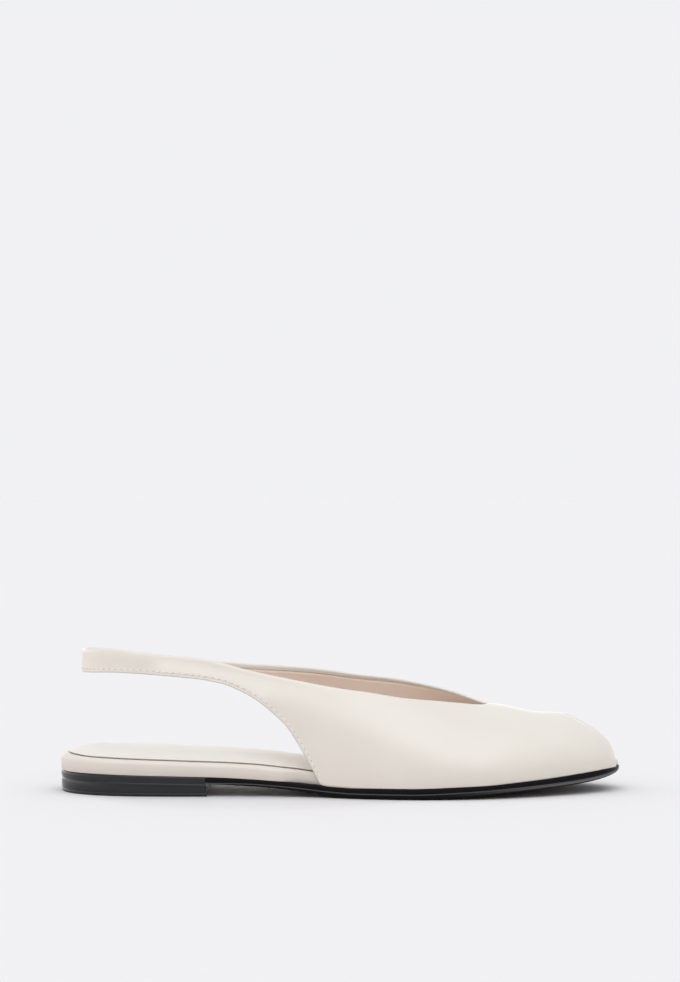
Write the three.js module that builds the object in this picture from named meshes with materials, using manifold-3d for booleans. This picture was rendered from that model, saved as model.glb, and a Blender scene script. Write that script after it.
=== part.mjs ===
// Sling back flat, right shoe, open at the toe.
// Millimetres, toe along +X, medial side along +Y, +Z up, standing on z = 0.
// Each piece follows one last: a plan outline, a feather line and a ridge line.

import * as THREE from 'three';
import { mergeVertices } from 'three/addons/utils/BufferGeometryUtils.js';
import Module from 'manifold-3d';

// Overall sizes of the last
const LENGTH = 250;
const BALL_WIDTH = 80;
const INSTEP_HEIGHT = 33;
const TOE_SWING = 5;
const HEEL_LEAN = 8.9;
const BULGE_DEPTH = 0.9;

// Sole and heel
const HEEL_HEIGHT = 6.4;
const TOE_SPRING = 8.2;
const SOLE_THICKNESS = 4.7;
const SOLE_MARGIN = 0.1;
const SOLE_EDGE_ROUND = 1.9;
const TOP_PIECE_THICKNESS = 1.5;
const TOP_PIECE_ROUND = 0.5;
const HEEL_LENGTH = 66;
const HEEL_INSET = 0.5;

// Footbed board and padded sock
const FOOTBED_THICKNESS = 6.6;
const FOOTBED_OVERHANG = 0.3;
const FOOTBED_EDGE_ROUND = 2.2;
const SOCK_THICKNESS = 2.2;
const SOCK_INSET = 3;
const SOCK_CROWN = 0.6;

// Upper
const WALL = 1.6;
const CLEARANCE = 0.3;
const VAMP_LENGTH = 59.25;
const OPENING_LENGTH = 26.4;
const OPENING_WIDTH = 20;

// Steps along and across the last, and how far the cutters go past it
const STEPS_ALONG = 48;
const STEPS_ACROSS = 32;
const CUT_STEPS = 30;
const COLLAR_STEPS = 44;
const CUT_REACH = 6;
const REACH = LENGTH / 2;
const WELD = 1e-4;

// Places along the last, as shares of its length
const THROAT = 1 - VAMP_LENGTH / LENGTH;
const HEEL_BREAST = HEEL_LENGTH / LENGTH;
const OPENING_APEX = 1 - OPENING_LENGTH / LENGTH;
const SWING_STARTS = 0.5;
const LEAN_ENDS = 0.24;

// Shares of the height between which the back of the last leans forward
const LEAN_LOW = 0.08;
const LEAN_HIGH = 0.55;

// Evening of the steps along the arch cut
const CUT_EASE = 0.8;

// Half widths as shares of the ball width, flare of the medial side as a share of it too,
// ridge as a share of the instep height, squareness of the cross-section as an exponent.
const LAST = [
  { at: 0.0, lateral: 0.0, medial: 0.0, flare: 0.0, ridge: 2.26, square: 4.0 },
  { at: 0.03, lateral: 0.2, medial: 0.2, flare: 0.0, ridge: 2.26, square: 4.0 },
  { at: 0.08, lateral: 0.295, medial: 0.295, flare: 0.0, ridge: 2.26, square: 4.0 },
  { at: 0.16, lateral: 0.341, medial: 0.341, flare: 0.0, ridge: 2.22, square: 4.0 },
  { at: 0.26, lateral: 0.345, medial: 0.328, flare: 0.02, ridge: 2.165, square: 3.8 },
  { at: 0.36, lateral: 0.355, medial: 0.295, flare: 0.05, ridge: 2.1, square: 3.1 },
  { at: 0.44, lateral: 0.385, medial: 0.297, flare: 0.06, ridge: 2.02, square: 2.6 },
  { at: 0.52, lateral: 0.455, medial: 0.356, flare: 0.04, ridge: 1.83, square: 2.2 },
  { at: 0.6, lateral: 0.514, medial: 0.429, flare: 0.01, ridge: 1.548, square: 1.95 },
  { at: 0.68, lateral: 0.535, medial: 0.465, flare: 0.0, ridge: 1.256, square: 1.9 },
  { at: 0.72, lateral: 0.531, medial: 0.464, flare: 0.0, ridge: 1.118, square: 1.92 },
  { at: 0.76, lateral: 0.513, medial: 0.453, flare: 0.0, ridge: 0.99, square: 2.0 },
  { at: 0.8, lateral: 0.481, medial: 0.435, flare: 0.0, ridge: 0.903, square: 2.1 },
  { at: 0.825, lateral: 0.455, medial: 0.418, flare: 0.0, ridge: 0.845, square: 2.15 },
  { at: 0.86, lateral: 0.412, medial: 0.384, flare: 0.0, ridge: 0.795, square: 2.2 },
  { at: 0.9, lateral: 0.352, medial: 0.334, flare: 0.0, ridge: 0.752, square: 2.25 },
  { at: 0.93, lateral: 0.3, medial: 0.288, flare: 0.0, ridge: 0.645, square: 2.25 },
  { at: 0.96, lateral: 0.235, medial: 0.228, flare: 0.0, ridge: 0.505, square: 2.25 },
  { at: 0.98, lateral: 0.175, medial: 0.17, flare: 0.0, ridge: 0.389, square: 2.25 },
  { at: 1.0, lateral: 0.0, medial: 0.0, flare: 0.0, ridge: 0.0, square: 2.25 },
];

// Underside of the outsole as a share of the heel height at the rear and of the toe spring
// at the front, its thickness, the rounding of its lower edge and the footbed's thickness.
const SOLE = [
  { at: 0.0, heel: 1.0, spring: 0.0, thick: 0.66, round: 0.2, bed: 1.12 },
  { at: 0.05, heel: 1.0, spring: 0.0, thick: 0.66, round: 0.2, bed: 1.0 },
  { at: 0.18, heel: 0.93, spring: 0.0, thick: 0.65, round: 0.2, bed: 0.94 },
  { at: 0.264, heel: 0.86, spring: 0.0, thick: 0.65, round: 0.25, bed: 0.9 },
  { at: 0.34, heel: 0.73, spring: 0.0, thick: 0.65, round: 0.35, bed: 0.9 },
  { at: 0.43, heel: 0.42, spring: 0.0, thick: 0.72, round: 0.5, bed: 0.78 },
  { at: 0.48, heel: 0.14, spring: 0.0, thick: 0.89, round: 0.8, bed: 0.68 },
  { at: 0.525, heel: 0.0, spring: 0.0, thick: 1.0, round: 1.0, bed: 0.6 },
  { at: 0.62, heel: 0.0, spring: 0.0, thick: 1.04, round: 1.0, bed: 0.5 },
  { at: 0.7, heel: 0.0, spring: 0.09, thick: 1.03, round: 1.0, bed: 0.45 },
  { at: 0.78, heel: 0.0, spring: 0.25, thick: 0.94, round: 0.9, bed: 0.42 },
  { at: 0.85, heel: 0.0, spring: 0.4, thick: 0.94, round: 0.85, bed: 0.4 },
  { at: 0.92, heel: 0.0, spring: 0.57, thick: 0.98, round: 0.8, bed: 0.4 },
  { at: 0.96, heel: 0.0, spring: 0.73, thick: 0.91, round: 0.75, bed: 0.38 },
  { at: 1.0, heel: 0.0, spring: 1.0, thick: 0.57, round: 0.6, bed: 0.36 },
];

// Topline of the collar and sling: place as a share of the way from heel to throat,
// height as a share of the height from feather line to ridge
const TOPLINE = [
  { at: 0.0, lateral: 0.722, medial: 0.722 },
  { at: 0.105, lateral: 0.737, medial: 0.696 },
  { at: 0.21, lateral: 0.73, medial: 0.678 },
  { at: 0.315, lateral: 0.726, medial: 0.667 },
  { at: 0.367, lateral: 0.715, medial: 0.667 },
  { at: 0.419, lateral: 0.69, medial: 0.67 },
  { at: 0.472, lateral: 0.672, medial: 0.679 },
  { at: 0.524, lateral: 0.663, medial: 0.691 },
  { at: 0.629, lateral: 0.673, medial: 0.729 },
  { at: 0.734, lateral: 0.724, medial: 0.804 },
  { at: 0.786, lateral: 0.757, medial: 0.865 },
  { at: 0.865, lateral: 0.832, medial: 0.938 },
  { at: 0.917, lateral: 0.884, medial: 0.976 },
  { at: 0.957, lateral: 0.929, medial: 0.992 },
  { at: 1.0, lateral: 1.0, medial: 1.0 },
];

// Lower edge of the sling and the arch cut: place as a share of the length,
// height as a share of the same height
const ARCH_CUT = [
  { at: 0.0, lateral: 0.583, medial: 0.583 },
  { at: 0.08, lateral: 0.595, medial: 0.561 },
  { at: 0.16, lateral: 0.601, medial: 0.555 },
  { at: 0.24, lateral: 0.595, medial: 0.547 },
  { at: 0.29, lateral: 0.578, medial: 0.534 },
  { at: 0.32, lateral: 0.547, medial: 0.514 },
  { at: 0.35, lateral: 0.5, medial: 0.478 },
  { at: 0.38, lateral: 0.427, medial: 0.42 },
  { at: 0.406, lateral: 0.346, medial: 0.346 },
  { at: 0.424, lateral: 0.253, medial: 0.253 },
  { at: 0.444, lateral: 0.133, medial: 0.133 },
  { at: 0.464, lateral: 0.0, medial: 0.0 },
  { at: 0.476, lateral: -0.1, medial: -0.1 },
];

// Part of the length over which the sole steps out from footbed to upper
const UPPER_STARTS = 0.385;
const UPPER_FULL = 0.43;
const TIP_OPEN = 0.988;

const LATERAL = -1;
const MEDIAL = 1;

const wasm = await Module();
wasm.setup();

// Curve with a continuous bend through the rows of a table
function smoothCurve(rows, read) {
  const at = rows.map((row) => row.at);
  const value = rows.map(read);
  const count = rows.length;
  const bend = new Array(count).fill(0);
  const work = new Array(count).fill(0);
  for (let i = 1; i < count - 1; i += 1) {
    const before = at[i] - at[i - 1];
    const after = at[i + 1] - at[i];
    const share = before / (before + after);
    const pivot = share * bend[i - 1] + 2;
    const turn = (value[i + 1] - value[i]) / after - (value[i] - value[i - 1]) / before;
    bend[i] = (share - 1) / pivot;
    work[i] = ((6 * turn) / (before + after) - share * work[i - 1]) / pivot;
  }
  for (let i = count - 2; i >= 0; i -= 1) {
    bend[i] = bend[i] * bend[i + 1] + work[i];
  }
  return (t) => {
    const i = spanOf(at, t);
    const span = at[i + 1] - at[i];
    const b = (t - at[i]) / span;
    const a = 1 - b;
    const curve = (a ** 3 - a) * bend[i] + (b ** 3 - b) * bend[i + 1];
    return a * value[i] + b * value[i + 1] + (curve * span * span) / 6;
  };
}

// Curve that never swings past the rows of a table, so flat stretches stay flat
function steadyCurve(rows, read) {
  const at = rows.map((row) => row.at);
  const value = rows.map(read);
  const count = rows.length;
  const rise = [];
  for (let i = 0; i < count - 1; i += 1) {
    rise.push((value[i + 1] - value[i]) / (at[i + 1] - at[i]));
  }
  const slope = [rise[0]];
  for (let i = 1; i < count - 1; i += 1) {
    const same = rise[i - 1] * rise[i] > 0;
    slope.push(same ? (2 * rise[i - 1] * rise[i]) / (rise[i - 1] + rise[i]) : 0);
  }
  slope.push(rise[count - 2]);
  return (t) => {
    const i = spanOf(at, t);
    const span = at[i + 1] - at[i];
    const b = (t - at[i]) / span;
    const a = 1 - b;
    const ends = value[i] * (1 + 2 * b) * a * a + value[i + 1] * (1 + 2 * a) * b * b;
    return ends + span * a * b * (slope[i] * a - slope[i + 1] * b);
  };
}

// Index of the table row that starts the span holding t
function spanOf(at, t) {
  let i = 0;
  while (i < at.length - 2 && t > at[i + 1]) {
    i += 1;
  }
  return i;
}

// Soft step from 0 to 1 between two values
function softStep(low, high, value) {
  const t = THREE.MathUtils.clamp((value - low) / (high - low), 0, 1);
  return t * t * (3 - 2 * t);
}

// Widths and ridge are held as squares, so the heel and toe close in round ends
const lateralSquare = smoothCurve(LAST, (row) => (row.lateral * BALL_WIDTH) ** 2);
const medialSquare = smoothCurve(LAST, (row) => (row.medial * BALL_WIDTH) ** 2);
const ridgeSquare = smoothCurve(LAST, (row) => (row.ridge * INSTEP_HEIGHT) ** 2);
const flare = smoothCurve(LAST, (row) => row.flare * BALL_WIDTH);
const squareness = smoothCurve(LAST, (row) => row.square);
const soleBottom = steadyCurve(SOLE, (row) => row.heel * HEEL_HEIGHT + row.spring * TOE_SPRING);
const soleThickness = steadyCurve(SOLE, (row) => row.thick * SOLE_THICKNESS);
const soleRound = steadyCurve(SOLE, (row) => row.round * SOLE_EDGE_ROUND);
const bedThickness = steadyCurve(SOLE, (row) => row.bed * FOOTBED_THICKNESS);
const toplineLateral = smoothCurve(TOPLINE, (row) => row.lateral);
const toplineMedial = smoothCurve(TOPLINE, (row) => row.medial);
const archLateral = steadyCurve(ARCH_CUT, (row) => row.lateral);
const archMedial = steadyCurve(ARCH_CUT, (row) => row.medial);

// Height of the feather line, where upper and outsole meet
function feather(t) {
  return soleBottom(t) + soleThickness(t);
}

// Top of the footbed board
function bedTop(t) {
  return feather(t) + CLEARANCE + bedThickness(t);
}

// Height of the last from feather line to ridge
function lastHeight(t) {
  return Math.sqrt(Math.max(ridgeSquare(t), 0));
}

// Half width of the plan outline on one side
function halfWidth(t, side) {
  const square = side === LATERAL ? lateralSquare(t) : medialSquare(t);
  return Math.sqrt(Math.max(square, 0));
}

// Sideways swing of the centre line towards the medial side at the toe
function centreLine(t) {
  return TOE_SWING * softStep(SWING_STARTS, 1, t);
}

// The back of the last leans forward from the seat up to the sling
function backLean(t, share) {
  const fade = Math.max(1 - t / LEAN_ENDS, 0);
  return HEEL_LEAN * fade * fade * softStep(LEAN_LOW, LEAN_HIGH, share);
}

// Share of the length for an even step s round an end
function along(s) {
  return (1 - Math.cos(Math.PI * s)) / 2;
}

// Point on the last: s runs from heel to toe, a from lateral -1 over the ridge to medial 1
function lastPoint(s, a) {
  const t = along(s);
  const side = a < 0 ? LATERAL : MEDIAL;
  const angle = (1 - Math.abs(a)) * (Math.PI / 2);
  const power = 2 / squareness(t);
  const share = Math.sin(angle) ** power;
  const width = halfWidth(t, side);
  const low = (share * (1 - share) ** 3 * 256) / 27;
  const spread = side === MEDIAL ? flare(t) * 4 * share * (1 - share) : 0;
  const swell = BULGE_DEPTH * (width / BALL_WIDTH) * 2 * low;
  const y = width * Math.max(Math.cos(angle), 0) ** power + swell + spread;
  return new THREE.Vector3(
    t * LENGTH + backLean(t, share),
    centreLine(t) + side * y,
    feather(t) + CLEARANCE + share * lastHeight(t),
  );
}

// Outward direction of the last at a point
function lastNormal(s, a) {
  const small = 1e-4;
  if (s < small) {
    return new THREE.Vector3(-1, 0, 0);
  }
  if (s > 1 - small) {
    return new THREE.Vector3(1, 0, 0);
  }
  const ahead = lastPoint(Math.min(s + small, 1), a);
  const behind = lastPoint(Math.max(s - small, 0), a);
  const right = lastPoint(s, Math.min(a + small, 1));
  const left = lastPoint(s, Math.max(a - small, -1));
  return ahead.sub(behind).cross(right.sub(left)).normalize();
}

// Closed mesh from vertices and faces, with shared vertices merged and slivers dropped
function meshFrom(points, faces) {
  const geometry = new THREE.BufferGeometry();
  geometry.setAttribute('position', new THREE.Float32BufferAttribute(points.flat(), 3));
  geometry.setIndex(faces.flat());
  const merged = mergeVertices(geometry, WELD);
  const index = Array.from(merged.index.array);
  const kept = [];
  for (let i = 0; i < index.length; i += 3) {
    const [a, b, c] = index.slice(i, i + 3);
    if (a !== b && b !== c && c !== a) {
      kept.push(a, b, c);
    }
  }
  merged.setIndex(kept);
  return merged;
}

// Two triangles of a quad whose corners run counter-clockwise seen from outside
function quad(a, b, c, d) {
  return [[a, b, c], [a, c, d]];
}

// Shell of the last with a real wall, open underneath
function lastShell() {
  const points = [];
  const row = STEPS_ACROSS + 1;
  const layer = row * (STEPS_ALONG + 1);
  for (const depth of [0, WALL]) {
    for (let i = 0; i <= STEPS_ALONG; i += 1) {
      for (let j = 0; j <= STEPS_ACROSS; j += 1) {
        const s = i / STEPS_ALONG;
        const a = (2 * j) / STEPS_ACROSS - 1;
        const point = lastPoint(s, a).addScaledVector(lastNormal(s, a), -depth);
        points.push(point.toArray());
      }
    }
  }
  const faces = [];
  for (let i = 0; i < STEPS_ALONG; i += 1) {
    for (let j = 0; j < STEPS_ACROSS; j += 1) {
      const near = i * row + j;
      const far = near + row;
      faces.push(...quad(near, far, far + 1, near + 1));
      faces.push(...quad(layer + near, layer + near + 1, layer + far + 1, layer + far));
    }
    const lateral = i * row;
    const medial = lateral + STEPS_ACROSS;
    faces.push(...quad(lateral, layer + lateral, layer + lateral + row, lateral + row));
    faces.push(...quad(medial, medial + row, layer + medial + row, layer + medial));
  }
  return meshFrom(points, faces);
}

// Point of a plan outline, set in from the last's own outline by a distance
function outlinePoint(t, side, inset) {
  const small = 1e-5;
  const width = halfWidth(t, side);
  const here = new THREE.Vector2(t * LENGTH, centreLine(t) + side * width);
  if (t < small || t > 1 - small) {
    here.x += t < small ? inset : -inset;
    return here;
  }
  const ahead = Math.min(t + small, 1);
  const run = (ahead - t) * LENGTH;
  const rise = centreLine(ahead) + side * halfWidth(ahead, side) - here.y;
  const inward = new THREE.Vector2(rise, -run).normalize().multiplyScalar(side);
  return here.addScaledVector(inward, inset);
}

// Slab between rings: each layer gives an inset and a height along the length.
// A slab that ends before the toe closes with a straight breast.
function slab(layers, end = 1) {
  const sides = [];
  for (let k = 0; k <= STEPS_ALONG; k += 1) {
    const s = k / STEPS_ALONG;
    sides.push(end < 1 ? end * (1 - Math.cos((Math.PI / 2) * s)) : along(s));
  }
  const tipWidth = end < 1 ? 1 : 0;
  const ring = 2 * STEPS_ALONG + tipWidth;
  const points = [];
  for (const layer of layers) {
    for (let k = 0; k <= STEPS_ALONG; k += 1) {
      const point = outlinePoint(sides[k], LATERAL, layer.inset(sides[k]));
      points.push([point.x, point.y, layer.height(sides[k])]);
    }
    for (let k = STEPS_ALONG - 1 + tipWidth; k >= 1; k -= 1) {
      const point = outlinePoint(sides[k], MEDIAL, layer.inset(sides[k]));
      points.push([point.x, point.y, layer.height(sides[k])]);
    }
  }
  const faces = [];
  for (let level = 0; level < layers.length - 1; level += 1) {
    for (let k = 0; k < ring; k += 1) {
      const next = (k + 1) % ring;
      const low = level * ring;
      faces.push(...quad(low + k, low + next, low + ring + next, low + ring + k));
    }
  }
  const top = (layers.length - 1) * ring;
  for (let k = 0; k < STEPS_ALONG; k += 1) {
    const other = (ring - k) % ring;
    const otherNext = (ring - k - 1) % ring;
    faces.push(...quad(k, other, otherNext, k + 1));
    faces.push(...quad(top + k, top + k + 1, top + otherNext, top + other));
  }
  return meshFrom(points, faces);
}

// Solid for joining and cutting
function solidFrom(geometry) {
  const bare = mergeVertices(stripped(geometry), WELD);
  return new wasm.Manifold(new wasm.Mesh({
    numProp: 3,
    vertProperties: new Float32Array(bare.attributes.position.array),
    triVerts: new Uint32Array(bare.index.array),
  }));
}

// Geometry with position alone, so that its shared vertices can merge
function stripped(geometry) {
  geometry.deleteAttribute('normal');
  geometry.deleteAttribute('uv');
  return geometry;
}

// Geometry of a finished solid
function geometryFrom(solid) {
  const mesh = solid.getMesh();
  const geometry = new THREE.BufferGeometry();
  geometry.setAttribute('position', new THREE.BufferAttribute(mesh.vertProperties, 3));
  geometry.setIndex(new THREE.BufferAttribute(mesh.triVerts, 1));
  return geometry;
}

// Side-view point on the last at a share of its height
function sidePoint(t, share) {
  const z = feather(t) + CLEARANCE + share * lastHeight(t);
  return new THREE.Vector2(t * LENGTH + backLean(t, share), z);
}

// Cutter on one side of the shoe, extruded across from a side-view outline
function sideCutter(outline, side) {
  const split = centreLine(THROAT);
  const geometry = new THREE.ExtrudeGeometry(new THREE.Shape(outline), {
    depth: REACH,
    steps: 1,
    bevelEnabled: false,
  });
  geometry.rotateX(Math.PI / 2);
  geometry.translate(0, side === LATERAL ? split : split + REACH, 0);
  return solidFrom(geometry);
}

// Place across the last, from -1 to 1, where a side reaches a share of its height
function acrossAt(t, share, side) {
  const sine = THREE.MathUtils.clamp(share, 0, 1) ** (squareness(t) / 2);
  return side * (1 - (2 / Math.PI) * Math.asin(sine));
}

// Everything inside the topline: a ring square to the wall, carried straight up above it
// and closed by a pit below
function collarCutter() {
  const ring = [];
  for (const [side, curve] of [[LATERAL, toplineLateral], [MEDIAL, toplineMedial]]) {
    const row = [];
    for (let k = 0; k <= COLLAR_STEPS; k += 1) {
      const t = THROAT * along(k / COLLAR_STEPS);
      row.push({ s: Math.acos(1 - 2 * t) / Math.PI, a: acrossAt(t, curve(t / THROAT), side) });
    }
    ring.push(...(side === LATERAL ? row : row.reverse().slice(1, -1)));
  }
  const outer = ring.map(({ s, a }) => lastPoint(s, a).addScaledVector(lastNormal(s, a), CUT_REACH));
  const inner = ring.map(({ s, a }) => lastPoint(s, a).addScaledVector(lastNormal(s, a), -CUT_REACH));
  const raised = outer.map((point) => new THREE.Vector3(point.x, point.y, 2 * REACH));
  const points = [...raised, ...outer, ...inner].map((point) => point.toArray());
  const count = ring.length;
  const middle = (THROAT * LENGTH) / 2;
  points.push([middle, 0, 2 * REACH]);
  points.push([middle, 0, feather(THROAT / 2) + lastHeight(THROAT / 2) / 2]);
  const faces = [];
  for (let k = 0; k < count; k += 1) {
    const next = (k + 1) % count;
    faces.push(...quad(next, k, count + k, count + next));
    faces.push(...quad(count + next, count + k, 2 * count + k, 2 * count + next));
    faces.push([k, next, 3 * count]);
    faces.push([2 * count + next, 2 * count + k, 3 * count + 1]);
  }
  return solidFrom(meshFrom(points, faces));
}

// Everything below the sling and behind the arch cut
function archCutter(curve, side) {
  const end = ARCH_CUT.at(-1).at;
  const outline = [sidePoint(0, curve(0)).add(new THREE.Vector2(-REACH, 0))];
  for (let k = 0; k <= CUT_STEPS; k += 1) {
    const t = end * (k / CUT_STEPS) ** CUT_EASE;
    outline.push(sidePoint(t, curve(t)));
  }
  outline.push(new THREE.Vector2(end * LENGTH, -REACH));
  outline.push(new THREE.Vector2(-REACH, -REACH));
  return sideCutter(outline, side);
}

// Parabola of the open toe, cut straight down through the vamp
function toeCutter() {
  const half = [];
  for (let k = 0; k <= CUT_STEPS / 2; k += 1) {
    const share = k / (CUT_STEPS / 2);
    half.push([LENGTH - OPENING_LENGTH * (1 - share * share), (share * OPENING_WIDTH) / 2]);
  }
  const past = LENGTH + OPENING_LENGTH;
  const centre = centreLine((1 + OPENING_APEX) / 2);
  const outline = half.map(([x, y]) => new THREE.Vector2(x, centre + y));
  outline.push(new THREE.Vector2(past, centre + OPENING_WIDTH / 2));
  outline.push(new THREE.Vector2(past, centre - OPENING_WIDTH / 2));
  for (const [x, y] of half.slice(1).reverse()) {
    outline.push(new THREE.Vector2(x, centre - y));
  }
  const geometry = new THREE.ExtrudeGeometry(new THREE.Shape(outline), {
    depth: REACH,
    steps: 1,
    bevelEnabled: false,
  });
  geometry.translate(0, 0, -REACH / 2);
  return solidFrom(geometry);
}

// Upper: vamp, quarters and sling in one wall, open at collar, toe, arch and underneath
function upperGeometry() {
  const cutters = [
    collarCutter(),
    archCutter(archLateral, LATERAL),
    archCutter(archMedial, MEDIAL),
    toeCutter(),
  ];
  let solid = solidFrom(lastShell());
  for (const cutter of cutters) {
    solid = solid.subtract(cutter);
  }
  return geometryFrom(solid);
}

// Outsole: full length, thicker under the ball, lower edge rounded, running on over the heel
function outsoleGeometry() {
  const margin = () => -SOLE_MARGIN;
  return slab([
    { inset: (t) => soleRound(t) - SOLE_MARGIN, height: soleBottom },
    { inset: (t) => soleRound(t) * 0.35 - SOLE_MARGIN, height: (t) => soleBottom(t) + soleRound(t) * 0.4 },
    { inset: margin, height: (t) => soleBottom(t) + soleRound(t) * 1.1 },
    { inset: margin, height: feather },
  ]);
}

// Heel block between top piece and outsole
function heelBlockGeometry() {
  const inset = () => HEEL_INSET;
  return slab([
    { inset, height: () => TOP_PIECE_THICKNESS + CLEARANCE },
    { inset, height: (t) => soleBottom(t) - CLEARANCE },
  ], HEEL_BREAST);
}

// Top piece: the thin layer that the heel walks on
function topPieceGeometry() {
  const inset = () => HEEL_INSET;
  return slab([
    { inset: () => HEEL_INSET + TOP_PIECE_ROUND, height: () => 0 },
    { inset, height: () => TOP_PIECE_ROUND },
    { inset, height: () => TOP_PIECE_THICKNESS },
  ], HEEL_BREAST);
}

// Inset of the footbed: proud of the heel at the rear, inside the upper's wall at the front
function bedInset(t) {
  const inside = WALL + CLEARANCE;
  const step = softStep(UPPER_STARTS, UPPER_FULL, t);
  const tip = softStep(TIP_OPEN, 1, t) * (inside - CLEARANCE);
  return THREE.MathUtils.lerp(-FOOTBED_OVERHANG, inside, step) - tip;
}

// Rounding of the footbed's upper edge, which fades inside the upper
function bedRound(t) {
  return FOOTBED_EDGE_ROUND * THREE.MathUtils.lerp(1, 0.4, softStep(UPPER_STARTS, UPPER_FULL, t));
}

// Footbed: a board wrapped in leather, a thick band at the heel and thin in the forefoot
function footbedGeometry() {
  return slab([
    { inset: bedInset, height: (t) => feather(t) + CLEARANCE },
    { inset: bedInset, height: (t) => bedTop(t) - bedRound(t) },
    { inset: (t) => bedInset(t) + 0.3 * bedRound(t), height: (t) => bedTop(t) - 0.3 * bedRound(t) },
    { inset: (t) => bedInset(t) + bedRound(t), height: bedTop },
  ]);
}

// Sock: the padded lining on top of the footbed, crowned with a round edge
function sockGeometry() {
  const base = (t) => bedTop(t) + CLEARANCE;
  const inset = (t) => bedInset(t) + SOCK_INSET;
  const rounded = SOCK_THICKNESS - SOCK_CROWN;
  return slab([
    { inset, height: base },
    { inset, height: (t) => base(t) + 0.4 * rounded },
    { inset: (t) => inset(t) + 0.35 * rounded, height: (t) => base(t) + 0.8 * rounded },
    { inset: (t) => inset(t) + rounded, height: (t) => base(t) + rounded },
    { inset: (t) => inset(t) + SOCK_INSET + rounded, height: (t) => base(t) + SOCK_THICKNESS },
  ]);
}

// Finishes: satin leather, lining leather and black rubber
const finishes = {
  upper: new THREE.MeshStandardMaterial({ color: 0xede8e2, roughness: 0.42, metalness: 0 }),
  footbed: new THREE.MeshStandardMaterial({ color: 0xdcd3cb, roughness: 0.45, metalness: 0 }),
  sock: new THREE.MeshStandardMaterial({ color: 0xe6e0da, roughness: 0.55, metalness: 0 }),
  sole: new THREE.MeshStandardMaterial({ color: 0x1f1c20, roughness: 0.5, metalness: 0 }),
  heel: new THREE.MeshStandardMaterial({ color: 0x34353a, roughness: 0.4, metalness: 0 }),
};

// Named piece of the shoe
function piece(name, geometry, material) {
  const plain = geometry.toNonIndexed();
  plain.computeVertexNormals();
  const mesh = new THREE.Mesh(plain, material);
  mesh.name = name;
  return mesh;
}

const shoe = new THREE.Group();
shoe.add(piece('outsole', outsoleGeometry(), finishes.sole));
shoe.add(piece('heel_block', heelBlockGeometry(), finishes.heel));
shoe.add(piece('top_piece', topPieceGeometry(), finishes.sole));
shoe.add(piece('footbed', footbedGeometry(), finishes.footbed));
shoe.add(piece('sock', sockGeometry(), finishes.sock));
shoe.add(piece('upper', upperGeometry(), finishes.upper));

// The origin is under the middle of the shoe's box
const box = new THREE.Box3().setFromObject(shoe);
const middle = box.getCenter(new THREE.Vector3());
shoe.position.set(-middle.x, -middle.y, -box.min.z);
shoe.updateMatrixWorld(true);

export default shoe;
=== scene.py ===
"""Sling back flat, right shoe, open at the toe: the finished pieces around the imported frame.

Lengths in the classes are millimetres in the shoe's own frame: X from heel to toe, Y towards
the medial side, Z up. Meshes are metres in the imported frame, and Last.shift joins the two.
"""

import logging
import math
from collections.abc import Callable, Sequence
from dataclasses import dataclass, field
from enum import Enum, IntEnum

import bpy
import numpy as np
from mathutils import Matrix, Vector

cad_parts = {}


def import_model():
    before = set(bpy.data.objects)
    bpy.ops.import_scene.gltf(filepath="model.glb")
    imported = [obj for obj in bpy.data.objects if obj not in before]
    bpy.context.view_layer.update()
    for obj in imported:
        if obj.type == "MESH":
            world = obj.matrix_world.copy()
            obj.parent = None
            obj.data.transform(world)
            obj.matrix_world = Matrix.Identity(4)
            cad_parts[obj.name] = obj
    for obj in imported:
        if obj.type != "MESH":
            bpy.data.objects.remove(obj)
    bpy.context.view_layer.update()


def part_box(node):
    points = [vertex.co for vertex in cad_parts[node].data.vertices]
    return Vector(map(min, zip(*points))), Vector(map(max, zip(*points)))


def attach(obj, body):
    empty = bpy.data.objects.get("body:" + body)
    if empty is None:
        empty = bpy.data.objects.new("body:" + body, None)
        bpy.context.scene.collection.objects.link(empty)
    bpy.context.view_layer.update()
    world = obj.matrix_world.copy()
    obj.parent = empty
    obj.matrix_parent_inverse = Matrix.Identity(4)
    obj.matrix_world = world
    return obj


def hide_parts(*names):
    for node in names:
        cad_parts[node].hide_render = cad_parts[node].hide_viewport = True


MM = 0.001
# Halvings of a search for a place, enough for a tiny fraction of a millimetre
HALVINGS = 50
BODY = "root"
log = logging.getLogger("sling_back_flat")

Array = np.ndarray


class Side(Enum):
    """Side of the shoe, with its direction along Y."""

    LATERAL = -1
    MEDIAL = 1


class Edge(Enum):
    """How an edge of the upper is made."""

    TURNED = "folded over and glued down inside"
    TIGHT = "folded over tightly round the toe opening"
    CUT = "cut flush with the lining and stitched"
    LASTED = "pulled under the feather line"


class SoleZone(IntEnum):
    """Parts of the outsole with a finish or painted light of their own, in the order of its
    materials.
    """

    SIDE = 0
    PAINTED_HIGHLIGHT_LINE = 1
    OVER_HEEL = 2
    TREAD = 3
    ROUNDED_EDGE = 4


@dataclass(frozen=True)
class LastRow:
    """Section of the last: half widths and flare as shares of the ball width,
    ridge as a share of the instep height, squareness as an exponent."""

    at: float
    lateral: float
    medial: float
    flare: float
    ridge: float
    square: float


@dataclass(frozen=True)
class SoleRow:
    """Section of the sole: underside as shares of heel height and toe spring,
    and shares of the sole's thickness, its edge rounding and the footbed's thickness."""

    at: float
    heel: float
    spring: float
    thick: float
    round: float
    bed: float


@dataclass(frozen=True)
class EdgeRow:
    """Height of an edge of the upper, as a share of the height from feather to ridge."""

    at: float
    lateral: float
    medial: float


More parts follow.
